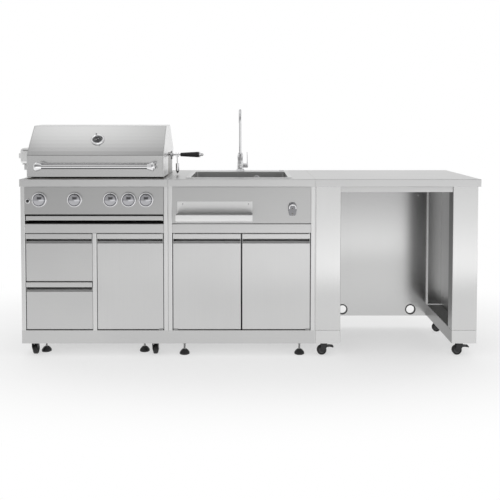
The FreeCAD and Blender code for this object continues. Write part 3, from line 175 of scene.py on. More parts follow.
def offset(line: np.ndarray, distance: float, closed: bool = True) -> np.ndarray:
    """Move a polyline sideways by a distance, to the right of its direction, with mitred corners.

    Args:
        line: The polyline.
        distance: How far; negative moves it to the left.
        closed: Whether the last point joins the first.

    Returns:
        The moved polyline.
    """
    step = unit(np.roll(line, -1, axis=0) - line)
    right = np.stack([step[:, 1], -step[:, 0]], axis=1)
    if not closed:
        right[-1] = right[-2]
    back = np.roll(right, 1, axis=0)
    if not closed:
        back[0] = right[0]
    mitre = (right + back) / np.maximum(1 + (right * back).sum(1, keepdims=True), 0.2)
    return line + mitre * distance


def rect(wide: float, high: float, radius: float, at: Span = (0.0, 0.0), steps: int = 4) -> np.ndarray:
    """The outline of a rectangle with rounded corners, counter-clockwise about its centre.

    Args:
        wide: Full size across.
        high: Full size up.
        radius: Corner radius.
        at: The centre.
        steps: Segments in each corner.

    Returns:
        The outline.
    """
    x, y = wide / 2, high / 2
    radius = max(min(radius, x - 1e-5, y - 1e-5), 1e-5)
    return fillet([(-x, -y), (x, -y), (x, y), (-x, y)], radius, True, steps) + np.asarray(at)


def loft(rings: np.ndarray, loop: bool = False) -> Shell:
    """A closed surface through rings of equally many points, turned so that its faces point outwards.

    Args:
        rings: Points as [ring, point on the ring, coordinate].
        loop: Whether the last ring joins the first; otherwise both end rings are capped.

    Returns:
        The surface.
    """
    count, around = rings.shape[:2]
    index = np.arange(count * around).reshape(count, around)
    near = index if loop else index[:-1]
    far = np.roll(index, -1, axis=0) if loop else index[1:]
    quads = np.stack([near, np.roll(near, -1, axis=1), np.roll(far, -1, axis=1), far], axis=-1).reshape(-1, 4)
    points = rings.reshape(-1, 3)
    shifted = points - points.mean(0)
    a, b, c, d = (shifted[quads[:, k]] for k in range(4))
    volume = (np.cross(a, b) * c).sum() + (np.cross(a, c) * d).sum()
    faces = quads.tolist()
    for ring in () if loop else (index[0][::-1], index[-1]):
        volume += (np.cross(shifted[ring[0]], shifted[ring[1:-1]]) * shifted[ring[2:]]).sum()
        faces.append(ring.tolist())
    if volume < 0:
        faces = [face[::-1] for face in faces]
    return Shell(points, faces)


def stacked(outlines: list[tuple[np.ndarray, float]], axis: Axis, at: Point = (0, 0, 0),
            loop: bool = False) -> Shell:
    """A surface through flat outlines, each at its own level along the axis.

    Args:
        outlines: Each outline with its level.
        axis: The directions.
        at: The local origin.
        loop: Whether the last outline joins the first.

    Returns:
        The surface.
    """
    rings = [np.column_stack([line, np.full(len(line), level)]) for line, level in outlines]
    return loft(placed(np.stack(rings), axis, at), loop)


def slab(outline: np.ndarray, low: float, high: float, axis: Axis, at: Point = (0, 0, 0),
         bevel: float = 0.0008) -> Shell:
    """A flat plate: an outline carried from low to high, with rounded rims.

    Args:
        outline: The plate's outline, counter-clockwise.
        low: Where it starts along the axis.
        high: Where it ends.
        axis: The plate's directions.
        at: The local origin.
        bevel: Radius of the rims.

    Returns:
        The plate.
    """
    rim = ((0, 1), (0.3, 0.3), (1, 0))
    levels = [(low + bevel * up, bevel * cut) for up, cut in rim]
    levels += [(high - bevel * up, bevel * cut) for up, cut in rim[::-1]]
    return stacked([(offset(outline, -cut), level) for level, cut in levels], axis, at)


def board(low: Point, high: Point, radius: float = 0.002, bevel: float = 0.0008) -> Shell:
    """A plate between two corners, with rounded corners and rims; its thinnest side is its thickness.

    Args:
        low: The lowest corner.
        high: The highest corner.
        radius: Radius of the four corners.
        bevel: Radius of the rims.

    Returns:
        The plate.
    """
    size = np.subtract(high, low)
    thin = int(np.argmin(size))
    half = size[thin] / 2
    outline = rect(*np.delete(size, thin), radius)
    return slab(outline, -half, half, CARRIED[thin], np.add(low, high) / 2, min(bevel, size[thin] * 0.45))


def square_tube(low: Point, high: Point, along: int, radius: float = 0.003, wall: float = 0.0015) -> Shell:
    """A square tube with rounded corners, open at both ends.

    Args:
        low: The lowest corner.
        high: The highest corner.
        along: The coordinate that the tube runs along.
        radius: Outer corner radius.
        wall: Wall thickness.

    Returns:
        The tube.
    """
    size = np.subtract(high, low)
    reach = size[along] / 2
    wide, tall = np.delete(size, along)
    outer = rect(wide, tall, radius)
    inner = rect(wide - 2 * wall, tall - 2 * wall, radius - wall)
    return stacked([(outer, -reach), (outer, reach), (inner, reach), (inner, -reach)], CARRIED[along],
                   np.add(low, high) / 2, loop=True)


def folded(corners: Line, radius: float | list[float], thick: float, reach: Span, axis: Axis,
           at: Point = (0, 0, 0), steps: int = 5) -> Shell:
    """A bent sheet: a line with rounded bends, given its thickness to the left, carried along the axis.

    Args:
        corners: The line of the sheet's one face, as (across, up).
        radius: Bend radii.
        thick: Sheet thickness.
        reach: Where it starts and ends along the axis.
        axis: The directions.
        at: The local origin.
        steps: Segments in each bend.

    Returns:
        The sheet.
    """
    face = fillet(corners, radius, False, steps)
    strip = np.vstack([face, offset(face, -thick, closed=False)[::-1]])
    return stacked([(strip, level) for level in reach], axis, at)


def tray(levels: list[Span], wide: float, high: float, corner: float, axis: Axis, at: Point) -> Shell:
    """A pressed sheet: rounded rectangles, each inset from the full size, one after another along the axis.

    Args:
        levels: (inset, place along the axis) of each ring.
        wide: Full size across.
        high: Full size up.
        corner: Corner radius at no inset.
        axis: The directions.
        at: The centre of the rectangle.

    Returns:
        The sheet.
    """
    return stacked([(rect(wide - 2 * inset, high - 2 * inset, max(corner - inset, 2e-4), steps=5), level)
                    for inset, level in levels], axis, at)


def lathe(profile: Line, axis: Axis, at: Point, steps: int = 48) -> Shell:
    """A turned solid: each (radius, height) of the profile is a circle round the axis.

    Args:
        profile: Radii and heights. One that starts away from the axis is a ring's, and closes on itself.
        axis: The directions; height runs along it.
        at: The point on the axis at height 0.
        steps: Points round each circle.

    Returns:
        The solid.
    """
    line = np.asarray(profile, float)
    angle = np.linspace(0, math.tau, steps, endpoint=False)
    radius = np.maximum(line[:, :1], 1e-5)
    rings = np.stack([radius * np.cos(angle), radius * np.sin(angle), np.repeat(line[:, 1:2], steps, axis=1)],
                     axis=-1)
    return loft(placed(rings, axis, at), line[0, 0] > 0)


def turned(corners: list[Span], radius: float | list[float], axis: Axis, at: Point, steps: int = 48) -> Shell:
    """A turned solid whose profile has rounded corners.

    Args:
        corners: The profile's (radius, height) points, as a lathe takes them.
        radius: One corner radius, or one for each corner.
        axis: The directions; height runs along it.
        at: The point on the axis at height 0.
        steps: Points round each circle.

    Returns:
        The solid.
    """
    return lathe(fillet(corners, radius, corners[0][0] > 0, 3), axis, at, steps)


def pipe(path: np.ndarray, radius: float | np.ndarray, steps: int = 24) -> Shell:
    """A round rod along a path: circles square to the path, with their start carried along without twist.

    Args:
        path: Points of the path.
        radius: One radius, or one for each point.
        steps: Points round each circle.

    Returns:
        The rod.
    """
    along = unit(np.gradient(path, axis=0))
    mean = unit(np.cross(along[:-1], along[1:]).sum(0) + np.array([1e-9, 0, 0]))
    side = unit(np.cross(along, np.broadcast_to(mean, along.shape)))
    over = np.cross(side, along)
    angle = np.linspace(0, math.tau, steps, endpoint=False)
    size = np.broadcast_to(np.asarray(radius, float), len(path))[:, None, None]
    circles = side[:, None] * np.cos(angle)[None, :, None] + over[:, None] * np.sin(angle)[None, :, None]
    return loft(path[:, None] + circles * size)


def rod(start: Point, end: Point, radius: float, soft: float = 0.0006, steps: int = 20) -> Shell:
    """A straight round rod with softened ends.

    Args:
        start: One end.
        end: The other end.
        radius: The rod's radius.
        soft: How much its ends are rounded.
        steps: Points round it.

    Returns:
        The rod.
    """
    start, end = np.asarray(start, float), np.asarray(end, float)
    way = unit(end - start)
    places = np.stack([start, start + way * soft, end - way * soft, end])
    side = unit(np.cross(way, [0.3, 0.5, 0.81]))
    over = np.cross(way, side)
    angle = np.linspace(0, math.tau, steps, endpoint=False)[None, :, None]
    size = np.array([radius - soft, radius, radius, radius - soft])[:, None, None]
    return loft(places[:, None] + (side * np.cos(angle) + over * np.sin(angle)) * size)


class Signal:
    """A shader socket that takes part in Python sums: each operation adds its Math node."""

    def __init__(self, graph: "Graph", socket: bpy.types.NodeSocket) -> None:
        """Wrap a socket.

        Args:
            graph: The graph that it belongs to.
            socket: The output socket.
        """
        self.graph = graph
        self.socket = socket

    def _math(self, operation: str, *values: "Signal | float") -> "Signal":
        """A Math node's result.

        Args:
            operation: The node's operation.
            values: Its inputs.

        Returns:
            Its output.
        """
        return self.graph.node("ShaderNodeMath", {"operation": operation}, dict(enumerate(values)))

    def __add__(self, other: "Signal | float") -> "Signal":
        """Sum."""
        return self._math("ADD", self, other)

    def __sub__(self, other: "Signal | float") -> "Signal":
        """Difference."""
        return self._math("SUBTRACT", self, other)

    def __rsub__(self, other: float) -> "Signal":
        """Difference from a number."""
        return self._math("SUBTRACT", other, self)

    def __mul__(self, other: "Signal | float") -> "Signal":
        """Product."""
        return self._math("MULTIPLY", self, other)

    def power(self, other: float) -> "Signal":
        """Raised to a power."""
        return self._math("POWER", self, other)

    def between(self, low: float, high: float) -> "Signal":
        """A smooth step.

        Args:
            low: Where it leaves 0.
            high: Where it reaches 1.

        Returns:
            0 below low, 1 above high, and smooth between.
        """
        values = {"Value": self, "From Min": low, "From Max": high, "To Min": 0.0, "To Max": 1.0}
        return self.graph.node("ShaderNodeMapRange", {"interpolation_type": "SMOOTHSTEP"}, values)

    __radd__ = __add__
    __rmul__ = __mul__


class Graph:
    """The node graph of a material or of the world."""

    def __init__(self, tree: bpy.types.NodeTree) -> None:
        """Start from an empty graph.

        Args:
            tree: The node tree.
        """
        self.tree = tree
        tree.nodes.clear()

    def node(self, kind: str, settings: dict | None = None, values: dict | None = None,
             output: str | int = 0) -> Signal:
        """Add a node.

        Args:
            kind: The node's type.
            settings: Its own settings, set first.
            values: Its inputs by name or number: numbers, colours or signals.
            output: Which output to hand back.

        Returns:
            The output.
        """
        made = self.tree.nodes.new(kind)
        for name, value in (settings or {}).items():
            setattr(made, name, value)
        for name, value in (values or {}).items():
            if isinstance(value, Signal):
                self.tree.links.new(value.socket, made.inputs[name])
            else:
                made.inputs[name].default_value = value
        outputs = [socket for socket in made.outputs if socket.enabled] or list(made.outputs)
        picked = made.outputs[output] if isinstance(output, str) else (outputs + [None])[output]
        return Signal(self, picked)

    def place(self) -> Signal:
        """Object coordinates."""
        return self.node("ShaderNodeTexCoord", output="Object")

    def mapped(self, vector: Signal, scale: Point) -> Signal:
        """Coordinates scaled."""
        return self.node("ShaderNodeMapping", {}, {"Vector": vector, "Scale": scale})

    def noise(self, vector: Signal, scale: float, detail: float = 3.0, rough: float = 0.5) -> Signal:
        """Soft noise.

        Args:
            vector: Where to read it.
            scale: How fine it is.
            detail: How many finer layers it has.
            rough: How strong they are.

        Returns:
            A value from 0 to 1.
        """
        values = {"Vector": vector, "Scale": scale, "Detail": detail, "Roughness": rough}
        return self.node("ShaderNodeTexNoise", {}, values, "Fac")

    def parts(self, vector: Signal) -> tuple[Signal, Signal, Signal]:
        """Take a vector apart.

        Args:
            vector: The vector.

        Returns:
            Its x, y and z.
        """
        x = self.node("ShaderNodeSeparateXYZ", {}, {"Vector": vector}, "X")
        sockets = x.socket.node.outputs
        return x, Signal(self, sockets["Y"]), Signal(self, sockets["Z"])

    def blend(self, factor: Signal, first: Signal | Point, second: Signal | Point) -> Signal:
        """Mix two colours.

        Args:
            factor: The share of the second.
            first: The colour at 0.
            second: The colour at 1.

        Returns:
            The mixed colour.
        """
        made = self.tree.nodes.new("ShaderNodeMix")
        made.data_type = "RGBA"
        self.tree.links.new(factor.socket, made.inputs[0])
        for socket, value in ((made.inputs[6], first), (made.inputs[7], second)):
            if isinstance(value, Signal):
                self.tree.links.new(value.socket, socket)
            else:
                socket.default_value = (*value, 1.0)
        return Signal(self, made.outputs[2])

    def bump(self, height: Signal, strength: float, distance: float) -> Signal:
        """A normal from a height.

        Args:
            height: The height, from 0 to 1.
            strength: How much it counts.
            distance: The height's size in metres.

        Returns:
            The normal.
        """
        values = {"Height": height, "Strength": strength, "Distance": distance}
        return self.node("ShaderNodeBump", {}, values, "Normal")

    def surface(self, **values: Signal | Point | float) -> None:
        """The Principled surface and the output: underscores in names stand for spaces.

        Args:
            values: The surface's inputs.
        """
        named = {name.replace("_", " "): value for name, value in values.items()}
        shader = self.node("ShaderNodeBsdfPrincipled", {}, named)
        self.node("ShaderNodeOutputMaterial", {}, {"Surface": shader})


def shade(grey: float, tint: Point = (1.0, 1.0, 1.0)) -> Point:
    """A grey with a slight tint, as linear red, green and blue."""
    return tuple(grey * part for part in tint)


@dataclass(frozen=True)
class Finish:
    """A material worked out from object coordinates.

    Attributes:
        name: The material's name.
    """

    name: str

    def material(self) -> bpy.types.Material:
        """Make the material.

        Returns:
            The finished material.
        """
        made = bpy.data.materials.new(self.name)
        made.use_nodes = True
        graph = Graph(made.node_tree)
        self.paint(graph, graph.place())
        return made

    def paint(self, graph: Graph, place: Signal) -> None:
        """Fill the material's graph.

        Args:
            graph: The empty graph.
            place: Object coordinates in it.
        """
        raise NotImplementedError


@dataclass(frozen=True)
class BrushedSteel(Finish):
    """Stainless sheet: fine streaks along one coordinate, faint clouding, and a soft shine.

    Attributes:
        grey: Its colour, linear.
        rough: Its roughness.
        grain: Streaks across each metre in x, y and z; the smallest is the brushing direction.
        depth: How deep the streaks are, in metres.
        cloud: How much its colour drifts.
        painted_shade: Painted shade: between which heights its colour darkens, and to what share of its
            colour at the upper one.
    """

    grey: float = 0.56
    rough: float = 0.3
    grain: Point = (3.0, 420.0, 420.0)
    depth: float = 0.00002
    cloud: float = 0.035
    painted_shade: Point = (0.0, 1.0, 1.0)

    def paint(self, graph: Graph, place: Signal) -> None:
        """Fill the material's graph.

        Args:
            graph: The empty graph.
            place: Object coordinates in it.
        """
        streaks = graph.noise(graph.mapped(place, self.grain), 1.0, 4.0, 0.6)
        drift = graph.noise(place, 2.6, 2.0)
        tone = streaks * 0.4 + drift * 0.6
        darkest = shade(self.grey * (1 - self.cloud))
        palest = shade(self.grey * (1 + self.cloud), (1.0, 1.0, 0.995))
        colour = graph.blend(tone.between(0.25, 0.75), darkest, palest)
        start, end, share = self.painted_shade
        # Painted shade: the colour darkens towards the top, as under the counter top.
        if share < 1:
            height = graph.parts(place)[2].between(start, end)
            colour = graph.blend(height, colour, shade(self.grey * share))
        graph.surface(Base_Color=colour, Metallic=1.0, Roughness=streaks * 0.1 + (self.rough - 0.05),
                      Normal=graph.bump(streaks, 0.25, self.depth))


@dataclass(frozen=True)
class Polished(Finish):
    """Plated or polished metal, with a trace of haze.

    Attributes:
        colour: Linear colour.
        rough: Its roughness.
        tube: Height and radius of a level tube whose upper and lower edges get a painted dark reflection.
    """

    colour: Point = (0.68, 0.68, 0.69)
    rough: float = 0.09
    tube: Span = (0.0, 0.0)

    def paint(self, graph: Graph, place: Signal) -> None:
        """Fill the material's graph.

        Args:
            graph: The empty graph.
            place: Object coordinates in it.
        """
        haze = graph.noise(place, 90.0, 3.0)
        colour = graph.blend(haze, shade(0.94, self.colour), shade(1.04, self.colour))
        height, radius = self.tube
        if radius:
            # Painted reflection: the tube's upper and lower edges are darkened, standing for the dark
            # surround they mirror.
            drop = graph.parts(place)[2] - height
            edge = (drop * drop).between(0.15 * radius ** 2, 0.6 * radius ** 2)
            colour = graph.blend(edge, colour, shade(0.1, self.colour))
        graph.surface(Base_Color=colour, Metallic=1.0, Roughness=haze * 0.06 + (self.rough - 0.03),
                      Normal=graph.bump(haze, 0.04, 0.0002))


@dataclass(frozen=True)
class HeatTinted(Finish):
    """Steel that has seen flames: darker, straw and brown in patches.

    Attributes:
        grey: Its colour where it is clean, linear.
    """

    grey: float = 0.34

    def paint(self, graph: Graph, place: Signal) -> None:
        """Fill the material's graph.

        Args:
            graph: The empty graph.
            place: Object coordinates in it.
        """
        patch = graph.noise(place, 9.0, 4.0)
        fine = graph.noise(place, 160.0, 3.0)
        straw = shade(self.grey, (0.86, 0.80, 0.72))
        graph.surface(Base_Color=graph.blend(patch.between(0.35, 0.7), shade(self.grey), straw), Metallic=0.9,
                      Roughness=fine * 0.2 + 0.35, Normal=graph.bump(fine, 0.2, 0.0003))


@dataclass(frozen=True)
class Moulded(Finish):
    """Moulded plastic, rubber or enamel with a fine grain.

    Attributes:
        colour: Linear colour.
        rough: Its roughness.
        grain: Grains in each metre.
        depth: The grain's depth in metres.
    """

    colour: Point
    rough: float = 0.42
    grain: float = 700.0
    depth: float = 0.0001

    def paint(self, graph: Graph, place: Signal) -> None:
        """Fill the material's graph.

        Args:
            graph: The empty graph.
            place: Object coordinates in it.
        """
        grain = graph.noise(place, self.grain, 2.0)
        wear = graph.noise(place, 30.0, 3.0)
        graph.surface(Base_Color=graph.blend(wear, shade(0.85, self.colour), shade(1.2, self.colour)),
                      Roughness=wear * 0.12 + (self.rough - 0.06), Normal=graph.bump(grain, 0.3, self.depth))


# Streaks across each metre of a sheet brushed upwards, and of one with an even grain.
UPRIGHT = (420.0, 420.0, 3.0)
EVEN = (200.0, 200.0, 200.0)

FINISHES = {
    "panel": BrushedSteel("brushed_panel"),
    "post": BrushedSteel("brushed_post", 0.66, 0.3, UPRIGHT),
    "upright": BrushedSteel("brushed_upright", 0.60, 0.3, UPRIGHT),
    "counter": BrushedSteel("brushed_counter", 0.62, 0.34),
    "hood": BrushedSteel("brushed_hood", 0.55, 0.15, (2.0, 500.0, 500.0), 0.00001, 0.025),
    # Painted shade: the back sheet darkens towards its top, where the counter top shades it.
    "back": BrushedSteel("back_sheet", 0.58, 0.2, (700.0, 700.0, 5.0), 0.000003, 0.01, (0.4, 0.87, 0.72)),
    "controls": BrushedSteel("brushed_controls", 0.45, 0.3),
    "apron": BrushedSteel("brushed_apron", 0.485, 0.3),
    "bowl": BrushedSteel("satin_bowl", 0.62, 0.3, (160.0, 160.0, 160.0)),
    "chrome": Polished("bright_chrome", (0.85, 0.85, 0.86), 0.06),
    "knob": Polished("dark_chrome", (0.44, 0.44, 0.46), 0.07),
    "ring": Polished("satin_ring", (0.8, 0.8, 0.81), 0.1),
    # Painted reflection: dark upper and lower edges along the hood's bar.
    "bar": Polished("bright_bar", (0.85, 0.85, 0.86), 0.08, (0.983, 0.012)),
    "mixer": Polished("satin_mixer", (0.74, 0.74, 0.75), 0.12),
    "satin": Polished("satin_casting", (0.9, 0.9, 0.91), 0.3),
    "casting": Polished("opener_casting", (0.24, 0.24, 0.25), 0.2),
    "dark": HeatTinted("heated_steel"),
    "plastic": Moulded("black_plastic", (0.012, 0.012, 0.013)),
    "rubber": Moulded("black_rubber", (0.015, 0.015, 0.015), 0.7, 300.0, 0.0003),
    "iron": Moulded("cast_iron", (0.03, 0.03, 0.03), 0.6, 220.0, 0.0006),
    "dial": Moulded("dial_face", (0.035, 0.035, 0.038), 0.16, 40.0, 0.00002),
    "motor": BrushedSteel("motor_shell", 0.78, 0.3, EVEN),
    "rail": BrushedSteel("brushed_trough", 0.77, 0.4),
    "leg": BrushedSteel("brushed_leg", 0.60, 0.2, UPRIGHT),
    # Painted shade: a dark sheet for the shaded open sides of the table's legs.
    "shade": BrushedSteel("painted_shade_side", 0.24, 0.35, (420.0, 3.0, 420.0)),
    "liner": BrushedSteel("shaded_liner", 0.56, 0.3, UPRIGHT),
    "base": BrushedSteel("brushed_base", 0.65, 0.3),
    "core": Moulded("wheel_core", (0.06, 0.06, 0.062), 0.5),
    "zinc": BrushedSteel("zinc_plate", 0.45, 0.4, EVEN),
    "mark": Moulded("printed_mark", (0.75, 0.75, 0.74), 0.5),
}


class Workshop:
    """Turns shells into finished pieces: mesh, material and body."""

    def __init__(self, frame: dict) -> None:
        """Make the finishes.
        """
        self.frame = frame
        self.finishes = {key: finish.material() for key, finish in FINISHES.items()}

    def dress(self, node: str, finish: str) -> None:
        """Give a CAD node that stays its finish.

        Args:
            node: The node's name.
            finish: The finish's name.
        """
        piece = self.frame["nodes"][node]
        piece.data.materials.clear()
        piece.data.materials.append(self.finishes[finish])
        log.info("%s keeps its shape, in %s", node, finish)

    def piece(self, name: str, shells: list[Shell], finish: str, slot: Slot = Slot.PANEL, body: str = "root",
              replaces: tuple[str, ...] = (), crisp: float = 32.0) -> None:
        """Make a finished piece.

        Args:
            name: The piece's name.
            shells: Its surfaces.
            finish: The finish's name.
            slot: The record's slot; not used.
            body: The body it moves with.
            replaces: The CAD nodes that it stands for.
            crisp: Edges sharper than this angle stay crisp, in degrees.
        """
        whole = shells[0]
        for shell in shells[1:]:
            whole = whole + shell
        mesh = bpy.data.meshes.new(name)
        mesh.from_pydata(whole.points.tolist(), [], whole.faces)
        mesh.polygons.foreach_set("use_smooth", np.ones(len(mesh.polygons), dtype=bool))
        mesh.set_sharp_from_angle(angle=math.radians(crisp))
        mesh.materials.append(self.finishes[finish])
        mesh.update()
        made = bpy.data.objects.new(name, mesh)
        bpy.context.scene.collection.objects.link(made)
        even = made.modifiers.new("even_normals", "WEIGHTED_NORMAL")
        even.keep_sharp = True
        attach(made, body)
        if replaces:
            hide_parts(*replaces)
        log.info("%s: %d faces on %s", name, len(mesh.polygons), body)


def span(node: str) -> tuple[np.ndarray, np.ndarray]:
    """A node's lowest and highest corners.

    Args:
        node: The node's name.

    Returns:
        Both corners as arrays.
    """
    low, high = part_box(node)
    return np.array(low, float), np.array(high, float)


def centre(node: str) -> np.ndarray:
    """The middle of a node's box."""
    low, high = span(node)
    return (low + high) / 2


@dataclass
class Part:
    """A group of pieces.

    Attributes:
        shop: Where pieces are finished.
    """

    shop: Workshop


@dataclass
class Counters(Part):
    """The three folded tops.

    Attributes:
        sheet: Sheet thickness.
        bend: Outer bend radius of the edges.
        hem: How far the bottom edge turns in.
        corner: Corner radius, seen from above.
        tube: Depth of the stiffener tubes.
        face: Where the front tube starts, behind the counter's front edge.
        back: Where the rear tube ends, before the counter's rear edge.
    """

    sheet: float = 0.0015
    bend: float = 0.0018
    hem: float = 0.012
    corner: float = 0.0016
    tube: float = 0.025
    face: float = 0.015
    back: float = 0.117

    def top(self, node: str, hole: tuple[Span, Span] | None = None) -> list[Shell]:
        """A top sheet with folded and hemmed edges: rectangles from the hole, out, down and back in.

        Args:
            node: The counter's node.
            hole: The cut-out's x and y spans.

        Returns:
            The sheet and its stiffener tubes.
        """
        low, high = span(node)
        under = high[2] - self.sheet
        levels = [(self.bend * (1 - math.sin(a)), high[2] - self.bend * (1 - math.cos(a)))
                  for a in np.linspace(0, math.pi / 2, 5)]
        levels += [(0, low[2] + 0.001), (0.001, low[2]), (self.hem, low[2]), (self.hem, low[2] + self.sheet),
                   (self.sheet, low[2] + self.sheet), (self.sheet, under)]
        size, middle = (high - low)[:2], centre(node)[:2]
        rings = [(rect(*(size - 2 * inset), self.corner, middle), z) for inset, z in levels]
        if hole:
            (x0, x1), (y0, y1) = hole
            cut = rect(x1 - x0, y1 - y0, 0.006, ((x0 + x1) / 2, (y0 + y1) / 2))
            rings = [(cut, high[2]), *rings, (cut, under)]
        tubes = [square_tube((low[0] + 0.002, y, low[2]), (high[0] - 0.002, y + self.tube, under), 0)
                 for y in (low[1] + self.face, high[1] - self.back - self.tube)]
        return [stacked(rings, Axis.UP, loop=bool(hole)), *tubes]

    def build(self) -> None:
        """All three tops."""
        fire, caps, bowl = span("firebox"), span("hood_end_caps"), span("sink_bowl")
        grill = ((caps[0][0] + 0.005, caps[1][0] - 0.005), (fire[0][1] + 0.025, fire[1][1] + 0.001))
        sink = ((bowl[0][0] + 0.016, bowl[1][0] - 0.016), (bowl[0][1] + 0.019, bowl[1][1] - 0.097))
        for name, hole in (("grill", grill), ("sink", sink), ("table", None)):
            node = name + "_counter"
            self.shop.piece(name + "_top", self.top(node, hole), "counter", replaces=(node,))


BODY_OF = {
    "grill_door": "door_grill",
    "sink_door_left": "door_sink_left",
    "sink_door_right": "door_sink_right",
    "lower_drawer": "drawer_lower",
    "upper_drawer": "drawer_upper",
}


@dataclass
class Fronts(Part):
    """Doors, drawer fronts and the posts and rails round them.

    Attributes:
        sheet: Sheet thickness.
        lip_deep: How far the finger lip stands in front of the face.
        lip_high: How far it hangs down.
        slot: Height of the finger slot under it.
        pan_deep: Depth of the pan's sides.
        pin: The pivot's distance from a door's edges.
        pin_thick: The pivot's radius.
        gap: How much lower a door's sheet is than the node at its top and foot.
        pin_reach: How far the pivots stand out of the sheet.
        wall: Thickness of a drawer's walls.
        wall_high: Their height.
        post: Width of a post.
        rail: Foot and top of the rails.
    """

    sheet: float = 0.0015
    lip_deep: float = 0.007
    lip_high: float = 0.026
    slot: float = 0.010
    pan_deep: float = 0.027
    pin: float = 0.005
    pin_thick: float = 0.003
    gap: float = 0.002
    pin_reach: float = 0.008
    wall: float = 0.0012
    wall_high: float = 0.17
    post: float = 0.022
    rail: Span = (0.638, 0.686)

    def pan(self, low: np.ndarray, high: np.ndarray) -> list[Shell]:
        """The front sheet: up the face, back into the finger slot, up behind it, forward and down as a lip.

        Args:
            low: The front's lowest corner.
            high: The front's highest corner.

        Returns:
            The pan and the lip.
        """
        y, foot, top = low[1], low[2], high[2]
        rear = self.lip_deep + self.pan_deep - 0.002
        lip = top - self.lip_high
        floor = lip - self.slot
        under, face = top - self.sheet, self.lip_deep
        line = [(rear, foot), (face, foot), (face, floor), (rear, floor), (rear, under), (self.sheet, under),
                (self.sheet, lip), (face, lip)]
        bends = [0.003, 0.018, 0.003, 0.003, 0.002, 0.002]
        shells = [folded(line, bends, -self.sheet, (low[0], high[0]), Axis.X, (0, y, 0))]
        sides = ((face + 0.001, foot + 0.001, rear - 0.001), (0.001, lip + 0.001, face + 0.002))
        for x in (low[0] + 0.0002, high[0] - self.sheet - 0.0002):
            for front, start, back in sides:
                end = (x + self.sheet, y + back, top - 0.002)
                shells.append(board((x, y + front, start), end, 0.001, 0.0002))
        return shells

    def door(self, node: str, hinge_left: bool) -> None:
        """A door: pan, lip, pivot pins, tab and an inner stiffening frame.

        Args:
            node: The door's node.
            hinge_left: Whether its pivots stand at its left edge.
        """
        low, high = span(node)
        out = self.pin_reach + self.gap
        low[2] += out
        high[2] -= out
        front = low[1] + self.lip_deep
        shells = self.pan(low, high)
        edge, side = (low[0], 1) if hinge_left else (high[0], -1)
        x, y = edge + side * self.pin, low[1] + self.pin
        shells += [rod((x, y, low[2] - out), (x, y, low[2] + 0.003), self.pin_thick),
                   rod((x, y, high[2] - 0.0015), (x, y, high[2] + out), self.pin_thick)]
        near, far = sorted((edge, edge + side * 0.024))
        shells.append(board((near, low[1], low[2]), (far, front + 0.002, low[2] + 0.003), 0.004))
        rear = front + self.pan_deep - 0.001
        for z in (low[2] + 0.06, (low[2] + high[2]) / 2, high[2] - 0.066):
            shells.append(square_tube((low[0] + 0.004, front + self.sheet, z - 0.012),
                                      (high[0] - 0.004, rear, z + 0.012), 0, 0.002, 0.001))
        self.shop.piece(node.replace("_door", "_dressed_door"), shells, "upright", body=BODY_OF[node],
                        replaces=(node,))

    def drawer(self, node: str) -> None:
        """A drawer: pan, lip, open box and slides.

        Args:
            node: The drawer's node.
        """
        low, high = span(node)
        shells = self.pan(low, high)
        start = low[1] + self.lip_deep + self.sheet
        left, right = low[0] + 0.011, high[0] - 0.011
        middle = ((left + right) / 2, (start + high[1]) / 2, low[2] + 0.02)
        rim, wall, tall = 0.004, self.wall, self.wall_high
        levels = [(0.001, 0), (0, 0.001), (0, tall - 0.001), (0.001, tall), (rim, tall), (rim, tall - wall),
                  (wall, tall - wall), (wall, wall)]
        shells.append(tray(levels, right - left, high[1] - start, 0.004, Axis.UP, middle))
        runner = low[2] + 0.0903
        for near, far in ((low[0], left + wall), (right - wall, high[0])):
            shells.append(board((near, low[1] + 0.035, runner), (far, high[1], runner + 0.004), 0.001))
        self.shop.piece(node + "_dressed", shells, "panel", body=BODY_OF[node], replaces=(node,))

    def frames(self) -> None:
        """Posts, rails and the apron, as rounded tubes and a folded sheet."""
        rails = []
        foot, top = self.rail
        for name in ("grill", "sink"):
            low, high = span(name + "_front_frame")
            inner = (low[0] + self.post, high[0] - self.post)
            stand = [(low[0], high[2]), (inner[1], high[2])]
            if name == "grill":
                stand.append(((low[0] + high[0] - self.post) / 2, foot))
            posts = [square_tube((x, low[1], low[2]), (x + self.post, high[1], end), 2) for x, end in stand]
            self.shop.piece(name + "_posts", posts, "post", replaces=(name + "_front_frame",))
            rails.append(square_tube((inner[0], low[1], foot), (inner[1], high[1], top), 0))
        self.shop.piece("front_rails", rails, "panel")
        low, high = span("sink_front_frame")
        inner = (low[0] + self.post, high[0] - self.post)
        edge = span("table_legs")[0]
        strip = board((high[0] - 0.0002, edge[1] + 0.0012, edge[2]),
                      (edge[0] + 0.0002, edge[1] + 0.012, high[2]), 0.0003, 0.0002)
        self.shop.piece("joint_strip", [strip], "post")
        line = [(0.012, high[2] - 0.001), (0, high[2] - 0.001), (0, top + 0.0005), (0.012, top + 0.0005)]
        apron = folded(line, 0.0025, self.sheet, inner, Axis.X, (0, low[1] + 0.003, 0))
        self.shop.piece("sink_apron_sheet", [apron], "apron")

    def grease_tray(self) -> None:
        """The grease tray, with a rolled rim."""
        low, high = span("drip_tray")
        wide, deep, tall = high - low
        levels = [(0.001, 0), (0, 0.001), (0, tall - 0.002), (0.0008, tall - 0.0005), (0.002, tall),
                  (0.005, tall), (0.005, tall - 0.0012), (0.0015, tall - 0.0014), (0.0015, 0.0014),
                  (0.003, 0.0012)]
        pan = tray(levels, wide, deep, 0.004, Axis.UP, (*centre("drip_tray")[:2], low[2]))
        self.shop.piece("grease_tray", [pan], "panel", body="tray", replaces=("drip_tray",))

    def build(self) -> None:
        """Everything on the cabinets' fronts."""
        self.frames()
        self.door("grill_door", False)
        self.door("sink_door_left", True)
        self.door("sink_door_right", False)
        self.drawer("lower_drawer")
        self.drawer("upper_drawer")
        self.grease_tray()


